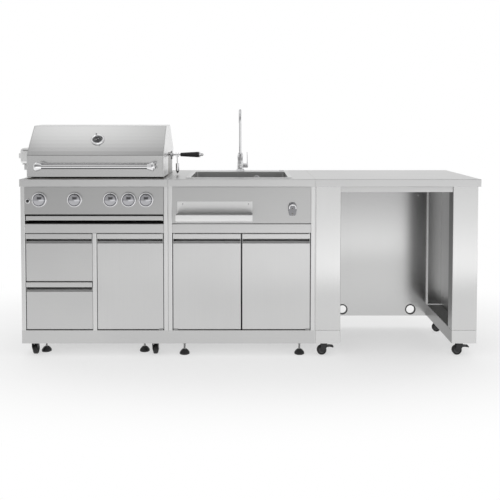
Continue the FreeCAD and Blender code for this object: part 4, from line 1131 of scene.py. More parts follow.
@dataclass
class Hood(Part):
    """The bent hood with its end caps, bar handle and thermometer.

    Attributes:
        crest_drop: How much lower the top is in front than behind.
        bow: How far the slope bulges.
        sheet: Sheet thickness of the skin.
        cap: Thickness of the end caps.
        front_high: Height of the upright front.
        slope_deep: Depth of the slope above it.
        top_deep: Depth of the flat top.
        rear_drop: How far the back falls.
        rear_lip: How far the skin hangs straight down at the back.
        step: Depth of the low front part of the caps.
        hinge: The hinge pin's distance before the rear edge, and its height above the floor.
        ear: Half the width and the drop of the caps' ears round the hinge pin.
        dial: Radius of the thermometer.
        handle_bar: Radius of the handle's bar.
        handle_end: Radii of a handle end's mouth, flare and root.
        handle_long: Length of a handle end.
    """

    crest_drop: float = 0.005
    bow: float = 0.003
    sheet: float = 0.002
    cap: float = 0.004
    front_high: float = 0.112
    slope_deep: float = 0.138
    top_deep: float = 0.162
    rear_drop: float = 0.130
    rear_lip: float = 0.018
    step: float = 0.206
    hinge: Span = (0.030, 1.010)
    ear: Span = (0.026, 0.018)
    dial: float = 0.035
    handle_bar: float = 0.012
    handle_end: Point = (0.018, 0.023, 0.014)
    handle_long: float = 0.036

    def profile(self) -> tuple[list[Span], list[float]]:
        """The hood's outer line and its bends.

        The slope bows outwards by a few millimetres: along it, the line leaves the chord by the bow times a
        parabola.

        Returns:
            The line in (y, z), and the radius of each of its bends.
        """
        low, high = span("hood_shell")
        start = np.array([low[1], low[2] + self.front_high])
        end = np.array([low[1] + self.slope_deep, high[2] - self.crest_drop])
        share = np.linspace(0, 1, 9)[1:-1, None]
        out = unit(np.array([start[1] - end[1], end[0] - start[0]]))
        slope = start + (end - start) * share + out * self.bow * 4 * share * (1 - share)
        drop = high[2] - self.rear_drop
        line = [(low[1], low[2]), tuple(start), *map(tuple, slope), tuple(end),
                (end[0] + self.top_deep, high[2]), (high[1], drop), (high[1], drop - self.rear_lip)]
        return line, [0.006, *([0.05] * 7), 0.010, 0.016, 0.010]

    def skin(self) -> None:
        """The bent sheet, with a hemmed front edge."""
        low, high = span("hood_shell")
        line, bends = self.profile()
        hemmed = [(line[0][0] + 0.012, line[0][1]), *line]
        sheet = folded(hemmed, [0.0025, *bends], -self.sheet, (low[0], high[0]), Axis.X, steps=8)
        self.shop.piece("hood_skin", [sheet], "hood", Slot.MIRROR, "hood", ("hood_shell",))

    def caps(self) -> None:
        """Both end caps, their hinge pins and the pins' washers."""
        low, high = span("hood_end_caps")
        line, bends = self.profile()
        y, z = high[1] - self.hinge[0], self.hinge[1]
        half, foot = self.ear[0], z - self.ear[1]
        front, level = line[0][0] + self.step, line[-1][1]
        line += [(y + half, foot), (y - half, foot), (y - half, level), (front, level), (front, line[0][1])]
        radii = [0.002, *bends, 0.004, 0.012, 0.012, 0.01, 0.01, 0.004]
        shape = fillet(line[::-1], radii[::-1], True, 6)
        shells = []
        for x, inward, axis in ((low[0], 1, Axis.X), (high[0], -1, Axis.LEFT)):
            near, far = sorted((x, x + inward * self.cap))
            shells += [slab(shape, near, far, Axis.X, bevel=0.0012),
                       rod((x, y, z), (x + inward * 0.010, y, z), 0.004),
                       turned([(0, -0.0016), (0.0085, -0.0016), (0.0075, 0.0), (0, 0.0)], 0.0005, axis,
                              (x + inward * 0.0016, y, z), 24)]
        self.shop.piece("hood_caps", shells, "upright", body="hood", replaces=("hood_end_caps",))

    def handle(self) -> None:
        """The bar between two trumpet-shaped ends on posts."""
        low, high = span("hood_handle")
        mouth, flare, root = self.handle_end
        long, bar = self.handle_long, self.handle_bar
        y, z = low[1] + flare, (low[2] + high[2]) / 2
        depth = span("hood_shell")[0][1] - y
        tube = rod((low[0] + long - 0.002, y, z), (high[0] - long + 0.002, y, z), bar, steps=40)
        self.shop.piece("hood_bar", [tube], "bar", Slot.CHROME, "hood", ("hood_handle",))
        trumpet = [(0, 0.003), (mouth - 0.004, 0.003), (mouth, 0), (flare, long * 0.14), (flare, long / 3),
                   (root, long), (bar, long), (0, long)]
        post = [(0, 0), (0.008, 0), (0.008, depth - 0.012), (0.013, depth - 0.006), (0.013, depth),
                (0, depth)]
        shells = []
        for x, axis, inward in ((low[0], Axis.X, 1), (high[0], Axis.LEFT, -1)):
            stand = (x + inward * 0.016, y, z)
            shells += [turned(trumpet, [0.0005, 0.001, 0.003, 0.006, 0.001, 0.0005], axis, (x, y, z), 48),
                       turned(post, [0.0005, 0.008, 0.003, 0.0005], Axis.BACK, stand, 32)]
        self.shop.piece("hood_bar_ends", shells, "chrome", Slot.CHROME, "hood", ("hood_handle",))

    def thermometer(self) -> None:
        """A round dial in a domed ring on the slope, its scale and needle, and the probe behind it."""
        low, high = span("hood_shell")
        rise = high[2] - low[2] - self.front_high - self.crest_drop
        lean = math.atan2(rise, self.slope_deep)
        sine, cosine = math.sin(lean), math.cos(lean)
        axis = np.array([(1, 0, 0), (0, cosine, sine), (0, -sine, cosine)])
        foot = (centre("hood_end_caps")[0], low[1] + self.slope_deep / 2, low[2] + self.front_high + rise / 2)
        at = placed(np.array([0, 0, self.bow]), axis, foot)
        probe = [placed(np.array([0, 0, depth]), axis, at) for depth in (-0.04, -0.003)]
        r = self.dial
        ring = turned([(0.003, -0.004), (0.003, 0.0002), (r, 0.0002), (r, 0.004), (r - 0.0045, 0.0088),
                       (r - 0.0075, 0.0088), (r - 0.0095, 0.0055), (0.0031, 0.0048)],
                      [0.0003, 0.0003, 0.0012, 0.003, 0.0015, 0.001, 0.001, 0.0001], axis, at, 64)
        self.shop.piece("dial_ring", [ring, rod(*probe, 0.003)], "chrome", Slot.CHROME, "hood",
                        ("hood_thermometer",))
        face = lathe([(0, 0.0052), (r - 0.0097, 0.0052), (r - 0.0099, 0.006), (0, 0.0062)], axis, at, 48)
        self.shop.piece("dial_face", [face], "dial", Slot.CHROME, "hood")

        def turned_by(degrees: float) -> np.ndarray:
            """The dial's directions, with up along a mark at an angle."""
            s, c = math.sin(math.radians(degrees)), math.cos(math.radians(degrees))
            return np.array([(s, -c, 0), (c, s, 0), (0, 0, 1)]) @ axis

        marks = []
        for k in range(13):
            long = 0.005 if k % 3 == 0 else 0.003
            stroke = rect(0.0007, long, 0.0002, (0, r - 0.0125 - long / 2), 1)
            marks.append(slab(stroke, 0.0061, 0.0066, turned_by(225 - k * 22.5), at, 0.0001))
        needle = [(-0.0012, -0.006), (0.0012, -0.006), (0.0003, 0.018), (-0.0003, 0.018)]
        marks += [slab(fillet(needle, 0.0002, True, 1), 0.0067, 0.0074, turned_by(205), at, 0.0001),
                  lathe([(0, 0.0062), (0.0026, 0.0062), (0.0022, 0.008), (0, 0.0083)], axis, at, 24)]
        self.shop.piece("dial_marks", marks, "mark", Slot.CHROME, "hood")

    def build(self) -> None:
        """The whole hood."""
        self.skin()
        self.caps()
        self.handle()
        self.thermometer()


@dataclass
class Rotisserie(Part):
    """Motor on its bracket, and the spit with its forks, grip and counterweight.

    Attributes:
        bar: Radius of the spit.
        socket: How far the spit reaches into the motor.
        case: Width of the motor's case, and where its two halves meet.
        case_foot: How far the case reaches below the spit.
        end: How far the case's stepped-in end stands out.
        hub: Length of a fork's hub.
        tine: Length of a fork's tines.
        spread: Half the distance between them.
    """

    bar: float = 0.005
    socket: float = 0.030
    case: Span = (0.090, 0.052)
    case_foot: float = 0.04902
    end: float = 0.014
    hub: float = 0.020
    tine: float = 0.110
    spread: float = 0.039

    def motor(self) -> None:
        """A two-part moulded case whose outer end is rounded, on a folded bracket."""
        low, high = span("rotisserie_motor")
        _, y, z = centre("spit_rod")
        x0, x1 = low[0], span("spit_rod")[0][0] + self.socket
        z0, z1 = z - self.case_foot, high[2]
        middle = (x1, y, (z0 + z1) / 2)
        wide, split = self.case
        long = x1 - x0
        end = long - self.end
        inner = [(0.002, 0.0), (0.0, 0.002), (0.0, split - 0.0015), (0.0012, split - 0.0005)]
        outer = [(0.0012, split + 0.0005), (0.0, split + 0.0015), (0.0, end - 0.022), (0.002, end - 0.011),
                 (0.007, end - 0.004), (0.014, end - 0.001), (0.022, end), (0.028, end), (0.029, end + 0.001),
                 (0.029, long - 0.003), (0.032, long)]
        halves = [tray(levels, wide, z1 - z0, corner, Axis.LEFT, middle)
                  for levels, corner in ((inner, 0.012), (outer, 0.016))]
        self.shop.piece("motor_case", halves, "motor", replaces=("rotisserie_motor",))
        details = [board((x1 - 0.075, y - 0.012, z1 - 0.004), (x1 - 0.045, y + 0.012, z1 - 0.0002), 0.002,
                         0.0004)]
        screw = [(0, 0), (0.003, 0), (0.003, 0.0008), (0, 0.0012)]
        for height in (middle[2] - 0.03, middle[2] + 0.03):
            for depth in (y - 0.034, y + 0.034):
                details.append(turned(screw, 0.0003, Axis.X, (x1 - 0.001, depth, height), 16))
        self.shop.piece("motor_fittings", details, "plastic", Slot.PLASTIC)
        wall = span("hood_end_caps")[0][0] + 0.006
        sheets = ((x0 + 0.024, wall, 0.034, 0.004, 0.0001), (x0 + 0.031, x0 + 0.049, 0.020, 0.035, 0.004),
                  (wall - 0.002, wall, 0.034, 0.030, 0.003))
        bracket = [board((near, y - half, z0 - deep), (far, y + half, z0 - top), 0.004)
                   for near, far, half, deep, top in sheets]
        self.shop.piece("motor_bracket", bracket, "upright")

    def spit(self) -> None:
        """The spit rod, its collar and two forks with pointed tines."""
        low, high = span("spit_rod")
        _, y, z = centre("spit_rod")
        collar = [(self.bar, 0), (0.009, 0), (0.009, 0.004), (0.0065, 0.006), (0.0065, 0.010), (0.009, 0.012),
                  (0.009, 0.016), (self.bar, 0.016)]
        shells = [rod((low[0], y, z), (high[0], y, z), self.bar, 0.002, 24),
                  turned(collar, 0.0005, Axis.X, (span("sink_counter")[0][0] - 0.016, y, z), 32)]
        cap_low, cap_high = span("hood_end_caps")
        hub = [(self.bar, 0), (0.013, 0), (0.013, self.hub), (self.bar, self.hub)]
        blade = 0.006
        for face, way in ((cap_low[0] + 0.176, 1), (cap_high[0] - 0.196, -1)):
            shells += [turned(hub, 0.0008, Axis.X, (face, y, z), 32),
                       board((face, y - 0.004, z - 0.042), (face + blade, y + 0.004, z + 0.042), 0.0015)]
            start = face if way > 0 else face + blade
            tip = start + way * self.tine
            for end in (z - self.spread, z + self.spread):
                path = np.array([(x, y, end) for x in (start, tip - way * 0.02, tip - way * 0.004, tip)])
                shells.append(pipe(path, np.array([0.003, 0.003, 0.0012, 0.0003]), 12))
        self.shop.piece("spit_and_forks", shells, "chrome", Slot.CHROME, "spit", ("spit_rod",))

    def grip(self) -> None:
        """The tapered black grip with a bright ring at its end."""
        _, y, z = centre("spit_handle")
        at = (span("spit_handle")[0][0], y, z)
        body = [(self.bar, 0.0), (0.0088, 0.0), (0.010, 0.002)]
        body += [(0.010 + 0.0055 * share, 0.002 + 0.096 * share) for share in np.linspace(0, 1, 9)[1:]]
        body += [(0.0148, 0.100), (0.012, 0.1005), (self.bar, 0.1005)]
        self.shop.piece("spit_grip", [lathe(body, Axis.X, at, 40)], "plastic", Slot.PLASTIC, "spit",
                        ("spit_handle",))
        ring = [(self.bar, 0.1005), (0.0125, 0.1005), (0.0152, 0.103), (0.0152, 0.108), (0.0085, 0.111),
                (0.008, 0.122), (self.bar, 0.124)]
        shells = [turned(ring, [0.0002, 0.001, 0.002, 0.002, 0.003, 0.002, 0.0003], Axis.X, at, 40)]
        self.shop.piece("grip_ring", shells, "chrome", Slot.CHROME, "spit")

    def weight(self) -> None:
        """The clamp, the hanging rod, the weight and its thumb knob."""
        _, y, z = centre("spit_rod")
        x = centre("spit_counterweight")[0]
        at = (x, y, z - 0.104)
        bore, thick = self.bar + 0.0002, 0.008
        shells = [board((near, y - 0.011, z - 0.014), (far, y + 0.011, z + 0.012), 0.003)
                  for near, far in ((x - thick, x - bore), (x + bore, x + thick))]
        block = [(0.0036, 0.014), (0.0095, 0.014), (0.0095, 0.056), (0.0036, 0.056)]
        shells += [rod((x, y, z - 0.006), (x, y, at[2] + 0.012), 0.0035),
                   turned(block, 0.0012, Axis.UP, at, 40),
                   turned([(0, 0), (0.004, 0), (0.004, 0.006), (0, 0.007)], 0.0008, Axis.UP, at, 24)]
        self.shop.piece("counterweight", shells, "chrome", Slot.CHROME, "spit", ("spit_counterweight",))
        angle = np.linspace(0, math.tau, 48, endpoint=False)
        wave = 0.0066 + 0.0004 * np.cos(angle * 12)
        star = np.column_stack([wave * np.cos(angle), wave * np.sin(angle)])
        levels = ((0.8, 0.006), (1.0, 0.007), (1.0, 0.0125), (0.8, 0.0138))
        knob = stacked([(star * size, level) for size, level in levels], Axis.UP, at)
        self.shop.piece("weight_knob", [knob], "plastic", Slot.PLASTIC, "spit")

    def build(self) -> None:
        """The whole rotisserie."""
        self.motor()
        self.spit()
        self.grip()
        self.weight()


@dataclass
class Controls(Part):
    """Knobs, their dished rings and the igniter button on the control panel.

    Attributes:
        ring: Outer radius of a dished ring.
        ring_deep: How far it stands out.
        dial: Radius of a knob.
        deep: How far a knob stands out.
        stem: Radius of a knob's stem.
        flutes: How many flutes a knob has.
        button: Radius of the igniter's button.
    """

    ring: float = 0.040
    ring_deep: float = 0.009
    dial: float = 0.028
    deep: float = 0.026
    stem: float = 0.004
    flutes: int = 24
    button: float = 0.0075

    def knob(self, number: int) -> Shell:
        """One knob, its mark and its stem.

        Args:
            number: Which knob, from 1.

        Returns:
            The dished ring round it.
        """
        node, body = f"control_knob_{number}", f"knob_{number}"
        panel = span("control_panel")[0][1]
        x, _, z = centre(node)
        r, deep, big, lip = self.dial, self.deep, self.ring, self.ring_deep
        seat = panel - lip * 0.4 - 0.0003
        angle = np.linspace(0, math.tau, 96, endpoint=False)
        tilt = np.radians([42.0, 38.0, 33.0, 28.0, 23.0, 18.0, 13.0, 8.0, 3.0])
        cap = (r - 0.002) / math.sin(tilt[0])
        size = [r - 0.001, r, r, r - 0.0008, *cap * np.sin(tilt)]
        dome = deep * 0.48 + cap * (np.cos(tilt) - math.cos(tilt[0]))
        level = [0.0, 0.001, deep * 0.42, deep * 0.46, *dome]
        flute = [0.0, 0.0007, 0.0007, 0.0003, *([0.0] * len(tilt))]
        wave = 0.5 - 0.5 * np.cos(self.flutes * angle)
        circle = np.column_stack([np.cos(angle), np.sin(angle)])
        rings = [(circle * (radius - cut * wave)[:, None], height)
                 for radius, cut, height in zip(size, flute, level)]
        shells = [stacked(rings, Axis.FRONT, (x, seat, z)),
                  rod((x, seat - 0.001, z), (x, span(node)[1][1], z), self.stem)]
        self.shop.piece(node + "_dressed", shells, "knob", Slot.CHROME, body, (node,))
        mark = board((x - 0.0009, seat - deep * 0.43, z + r - 0.0012),
                     (x + 0.0009, seat - deep * 0.1, z + r + 0.0002), 0.0003, 0.0002)
        self.shop.piece(node + "_mark", [mark], "plastic", Slot.CHROME, body)
        bore = self.stem + 0.002
        return turned([(bore, 0), (big, 0), (big, lip * 0.35), (big * 0.92, lip), (big * 0.8, lip),
                       (r + 0.001, lip * 0.4), (bore, lip * 0.4)],
                      [0.0003, 0.001, 0.002, 0.0025, 0.003, 0.002, 0.0003], Axis.FRONT, (x, panel, z), 64)

    def build(self) -> None:
        """All the knobs, rings and the button."""
        rings = [self.knob(number) for number in range(1, 6)]
        low, high = span("igniter_button")
        x, _, z = centre("igniter_button")
        at = (x, span("control_panel")[0][1], z)
        bore, long = self.button + 0.0003, high[1] - low[1]
        rings += [turned([(bore, 0), (0.0125, 0), (0.0125, 0.003), (0.0105, 0.005), (bore, 0.005)],
                         [0.0003, 0.0005, 0.001, 0.0015, 0.0005], Axis.FRONT, at, 40),
                  turned([(bore, -0.0015), (0.0105, -0.0015), (0.0105, -0.0235), (0, -0.0235), (0, -0.0215),
                          (bore, -0.0215)], 0.0001, Axis.FRONT, at, 32)]
        self.shop.piece("knob_rings", rings, "ring", Slot.CHROME, replaces=("knob_bezels",))
        push = turned([(0, 0), (self.button, 0), (self.button, long), (0, long)], [0.0025, 0.0005], Axis.BACK,
                      (x, low[1], z), 40)
        self.shop.piece("igniter_push", [push], "plastic", Slot.PLASTIC, "igniter", ("igniter_button",))


@dataclass
class SinkAndFaucet(Part):
    """The pressed bowl in its raised rim, with its fittings, and the mixer behind it.

    Attributes:
        wall: Sheet thickness of the bowl.
        corner: Corner radius of the bowl.
        down: Depth of the bowl below the counter.
        rim: Thickness of the rim.
        rim_wide: Width of the rim.
        bowl_wide: Width of the bowl.
        bend: Radius between the bowl's walls and its floor.
        tail: Inner radius of the waste.
        cup: Radius of the waste's cup.
        arch: Radius of the gooseneck's arch.
        neck: Radius of its tube.
        foot: Radius of the faucet's foot.
        lever_up: Height of the lever above it.
    """

    wall: float = 0.0015
    corner: float = 0.018
    down: float = 0.180
    rim: float = 0.003
    rim_wide: float = 0.554
    bowl_wide: float = 0.512
    bend: float = 0.014
    tail: float = 0.022
    cup: float = 0.045
    arch: float = 0.060
    neck: float = 0.008
    foot: float = 0.029
    lever_up: float = 0.031

    def bowl(self) -> None:
        """Rim, bowl and waste in one closed sheet, from the rim in, down, through the waste and back."""
        low, high = span("sink_counter")
        top = high[2]
        deck, floor = top + self.rim, top - self.down
        middle = centre("sink_bowl")[0]
        rim_y = (low[1] + 0.070, high[1] - 0.050)
        bowl_y = (rim_y[0] + 0.024, high[1] - 0.152)
        mid = (middle, sum(bowl_y) / 2)
        bend, tail, wall = self.bend, self.tail, self.wall

        def rim_at(inset: float, z: float) -> tuple[np.ndarray, float]:
            """A ring of the rim."""
            size = (self.rim_wide - 2 * inset, rim_y[1] - rim_y[0] - 2 * inset)
            return rect(*size, 0.012 - inset, (middle, sum(rim_y) / 2), 6), z

        def bowl_at(inset: float, z: float) -> tuple[np.ndarray, float]:
            """A ring of the bowl."""
            size = (self.bowl_wide - 2 * inset, bowl_y[1] - bowl_y[0] - 2 * inset)
            return rect(*size, max(self.corner - inset, 0.004), mid, 6), z

        def round_at(radius: float, z: float) -> tuple[np.ndarray, float]:
            """A round ring of the waste."""
            return rect(2 * radius, 2 * radius, radius, mid, 6), z

        angle = np.linspace(0, math.pi / 2, 6)[1:]
        turns = [(bend * (1 - math.cos(a)), bend * (1 - math.sin(a))) for a in angle]
        foot = floor - 0.092
        inside = floor + wall
        rings = [rim_at(0, top + 0.0001), rim_at(0, top + 0.0016), rim_at(0.0014, deck),
                 bowl_at(-0.0005, deck), bowl_at(wall, deck - 0.002), bowl_at(wall, inside + bend),
                 *(bowl_at(wall + inset, inside + rise) for inset, rise in turns),
                 round_at(tail + 0.02, inside), round_at(tail, inside - 0.004), round_at(tail, foot),
                 round_at(tail + wall, foot), round_at(tail + wall, floor - 0.024),
                 round_at(self.cup, floor - 0.022), round_at(self.cup, floor),
                 *(bowl_at(inset, floor + rise) for inset, rise in turns[::-1]), bowl_at(0, floor + bend),
                 bowl_at(0, top + 0.0001)]
        bowl = stacked(rings, Axis.UP, loop=True)
        self.shop.piece("sink_pressing", [bowl], "bowl", replaces=("sink_bowl",), crisp=40)
        cap = turned([(0, 0), (0.016, 0), (0.016, 0.002), (0.012, 0.005), (0, 0.005)], [0.0003, 0.001, 0.004],
                     Axis.UP, (middle + 0.242, centre("faucet_body")[1], deck), 40)
        at = (middle + 0.095, bowl_y[1] - wall, top - 0.035)
        rose = [(0, 0), (0.016, 0), (0.016, 0.001), (0.013, 0.003), (0.009, 0.003), (0.0075, 0.0012),
                (0, 0.0012)]
        stud = [(0, 0.0012), (0.0018, 0.0012), (0.0018, 0.0028), (0, 0.0028)]
        over = [turned(rose, [0.0004, 0.0005, 0.001, 0.001, 0.0005], Axis.FRONT, at, 40),
                turned(stud, 0.0004, Axis.FRONT, at, 16)]
        strainer = [turned([(tail - 0.004, 0.0), (tail + 0.016, 0.0), (tail + 0.015, 0.0022), (tail, 0.0022),
                            (tail - 0.003, -0.006), (tail - 0.004, -0.006)], 0.0004, Axis.UP,
                           (*mid, floor + wall + 0.0002), 56)]
        for step in range(-3, 4):
            side = step * 0.0055
            reach = math.sqrt((tail - 0.003) ** 2 - side ** 2)
            for way, z in (((0, 1), floor - 0.002), ((1, 0), floor - 0.003)):
                line = np.array(mid) + side * np.array(way[::-1])
                ends = [(*(line + sign * reach * np.array(way)), z) for sign in (-1, 1)]
                strainer.append(rod(*ends, 0.0011, 0.0003, 10))
        self.shop.piece("sink_fittings", [cap, *over, *strainer], "chrome", Slot.CHROME)

    def faucet(self) -> None:
        """The waisted body with its hub, the gooseneck and the lever."""
        low, high = span("faucet_body")
        x, y, base = low[0] + self.foot, (low[1] + high[1]) / 2, low[2]
        lever_z = base + self.lever_up
        spout_low, spout_high = span("faucet_spout")
        waist = [(0.0082, 0.020), (0.0082, 0.100), (0.0147, 0.100), (0.0195, 0.082), (0.0175, 0.060),
                 (0.0200, 0.031), (0.0195, 0.012), (self.foot, 0.0), (0, 0.0), (0, 0.020)]
        bends = [0.0004, 0.0004, 0.003, 0.008, 0.03, 0.02, 0.014, 0.0012, 0.00002, 0.00002]
        hub = [(0.0052, 0.010), (0.013, 0.010), (0.0135, 0.020), (0.0135, 0.030), (0.012, 0.033),
               (0.0052, 0.033)]
        body = [turned(waist, bends, Axis.UP, (x, y, base), 56),
                turned(hub, [0.0002, 0.004, 0.004, 0.002, 0.001, 0.0002], Axis.X, (x, y, lever_z), 40)]
        self.shop.piece("mixer_body", body, "satin", Slot.CHROME, replaces=("faucet_body",))
        arch = self.arch
        crest, end = spout_high[2] - self.neck - arch, y - 2 * arch
        arc = np.linspace(0, math.pi, 33)
        bow = np.stack([np.full(33, x), y - arch + arch * np.cos(arc), crest + arch * np.sin(arc)], axis=-1)
        stand = np.linspace((x, y, base + 0.0203), (x, y, crest), 6)[:-1]
        drop = np.linspace((x, end, crest), (x, end, crest - 0.012), 3)[1:]
        nozzle = [(0.0045, 0.003), (0.0065, 0), (0.0095, 0), (0.011, 0.003), (0.011, 0.019), (0.0095, 0.0205),
                  (0.011, 0.022), (0.011, 0.026), (0.0082, 0.027), (0.0045, 0.027)]
        bends = [0.0003, 0.0003, 0.0008, 0.001, 0.0006, 0.0005, 0.0006, 0.001, 0.0003, 0.0003]
        ring = [(0.0083, 0), (0.0125, 0), (0.0125, 0.006), (0.0083, 0.006)]
        shells = [pipe(np.vstack([stand, bow, drop]), self.neck, 28),
                  turned(nozzle, bends, Axis.UP, (x, end, spout_low[2]), 40),
                  turned(ring, 0.0008, Axis.UP, (x, y, base + 0.1002), 40)]
        self.shop.piece("gooseneck", shells, "mixer", Slot.CHROME, "spout", ("faucet_spout",))
        boss = span("faucet_lever")[0][0] + 0.010
        blade = [(rect(0.006 - 0.0015 * s, 0.010 - 0.002 * s, 0.0022, (0.0016 * math.sin(math.pi * s), 0), 3),
                  0.078 * s) for s in np.linspace(0, 1, 7)]
        knob = [(0, -0.010), (0.0048, -0.010), (0.0048, 0), (0.013, 0), (0.013, 0.008), (0.009, 0.012),
                (0, 0.012)]
        shells = [turned(knob, [0.0004, 0.0003, 0.001, 0.003, 0.002], Axis.X, (boss, y, lever_z), 40),
                  stacked(blade, Axis.UP, (boss + 0.006, y, lever_z))]
        self.shop.piece("mixer_lever", shells, "satin", Slot.CHROME, "lever", ("faucet_lever",))

    def build(self) -> None:
        """Bowl and mixer."""
        self.bowl()
        self.faucet()


@dataclass
class FrontFittings(Part):
    """The bottle rail and the bottle opener on the sink's apron.

    Attributes:
        sheet: Sheet thickness.
        trough: Height of the trough's front wall.
    """

    sheet: float = 0.002
    trough: float = 0.039

    def screw(self, x: float, y: float, z: float, size: float, head: float) -> Shell:
        """A domed screw head.

        Args:
            x: Its place along the row.
            y: The face that it sits on.
            z: Its height above the floor.
            size: Its radius.
            head: How far it stands out.

        Returns:
            The head.
        """
        profile = [(0, 0), (size, 0), (size - 0.0004, head * 0.6), (0, head)]
        return turned(profile, [0.0005, 0.0012], Axis.FRONT, (x, y, z), 24)

    def rail(self) -> None:
        """A plate whose sheet runs down and forward into a trough with a rolled edge, closed by two ends."""
        low, high = span("bottle_rail")
        back, foot, deep, wall = high[1], low[2], high[1] - low[1], self.trough
        line = [(0, high[2]), (0, foot), (-deep + 0.001, foot), (-deep, foot + wall),
                (-deep + 0.007, foot + wall)]
        sheet = folded(line, [0.006, 0.016, 0.003], -self.sheet, (low[0], high[0]), Axis.X, (0, back, 0), 7)
        outline = fillet([(-deep + 0.001, wall - 0.0025), (-deep + 0.002, 0.001), (-0.001, 0.001),
                          (-0.001, wall - 0.0025)], [0.001, 0.015, 0.005, 0.001], True, 6)
        ends = [slab(outline, x, x + 0.0018, Axis.X, (0, back, foot), 0.0005)
                for x in (low[0] + 0.0001, high[0] - 0.0019)]
        self.shop.piece("bottle_trough", [sheet, *ends], "rail", replaces=("bottle_rail",))
        screws = [self.screw(x, back - self.sheet, high[2] - 0.014, 0.004, 0.003)
                  for x in (low[0] + 0.028, high[0] - 0.020)]
        self.shop.piece("trough_screws", screws, "chrome", Slot.CHROME)

    def opener(self) -> None:
        """A shield-shaped plate with a hooked mouth and two screws."""
        low, high = span("bottle_opener")
        x, _, z = centre("bottle_opener")
        back = high[1]
        half, _, tall = (high - low) / 2
        shield = np.array([(-0.72, -1), (0.72, -1), (1, -0.2), (1, 0.45), (0.6, 1), (-0.6, 1), (-1, 0.45),
                           (-1, -0.2)]) * (half, tall)
        bends = [0.006, 0.006, 0.02, 0.012, 0.012, 0.012, 0.012, 0.02]
        plate = slab(fillet(shield, bends, True, 5), 0, 0.005, Axis.FRONT, (x, back, z), 0.0015)
        self.shop.piece("opener_plate", [plate], "casting", Slot.CHROME, replaces=("bottle_opener",))
        arc = np.linspace(math.radians(-18), math.radians(198), 25)
        circle = np.column_stack([np.cos(arc), np.sin(arc)])
        horseshoe = np.vstack([0.0198 * circle, 0.0150 * circle[::-1]])
        levels = ((1.0, 0.004), (1.0, 0.016), (0.98, 0.022), (0.94, 0.0255))
        at = (x, back, z + 0.008)
        half, front = 0.0105, back - 0.024
        mouth = [stacked([(horseshoe * scale, level) for scale, level in levels], Axis.FRONT, at),
                 board((x - half, front, z + 0.0195), (x + half, front + 0.004, z + 0.0232), 0.0015)]
        self.shop.piece("opener_mouth", mouth, "chrome", Slot.CHROME)
        screws = [turned([(0, 0), (0.0042, 0), (0.0038, 0.0014), (0, 0.0024)], [0.0004, 0.001], Axis.FRONT,
                         (x, back - 0.005, z + rise), 24) for rise in (-0.024, 0.0)]
        self.shop.piece("opener_screws", screws, "dark", Slot.CHROME)

    def build(self) -> None:
        """Rail and opener."""
        self.rail()
        self.opener()


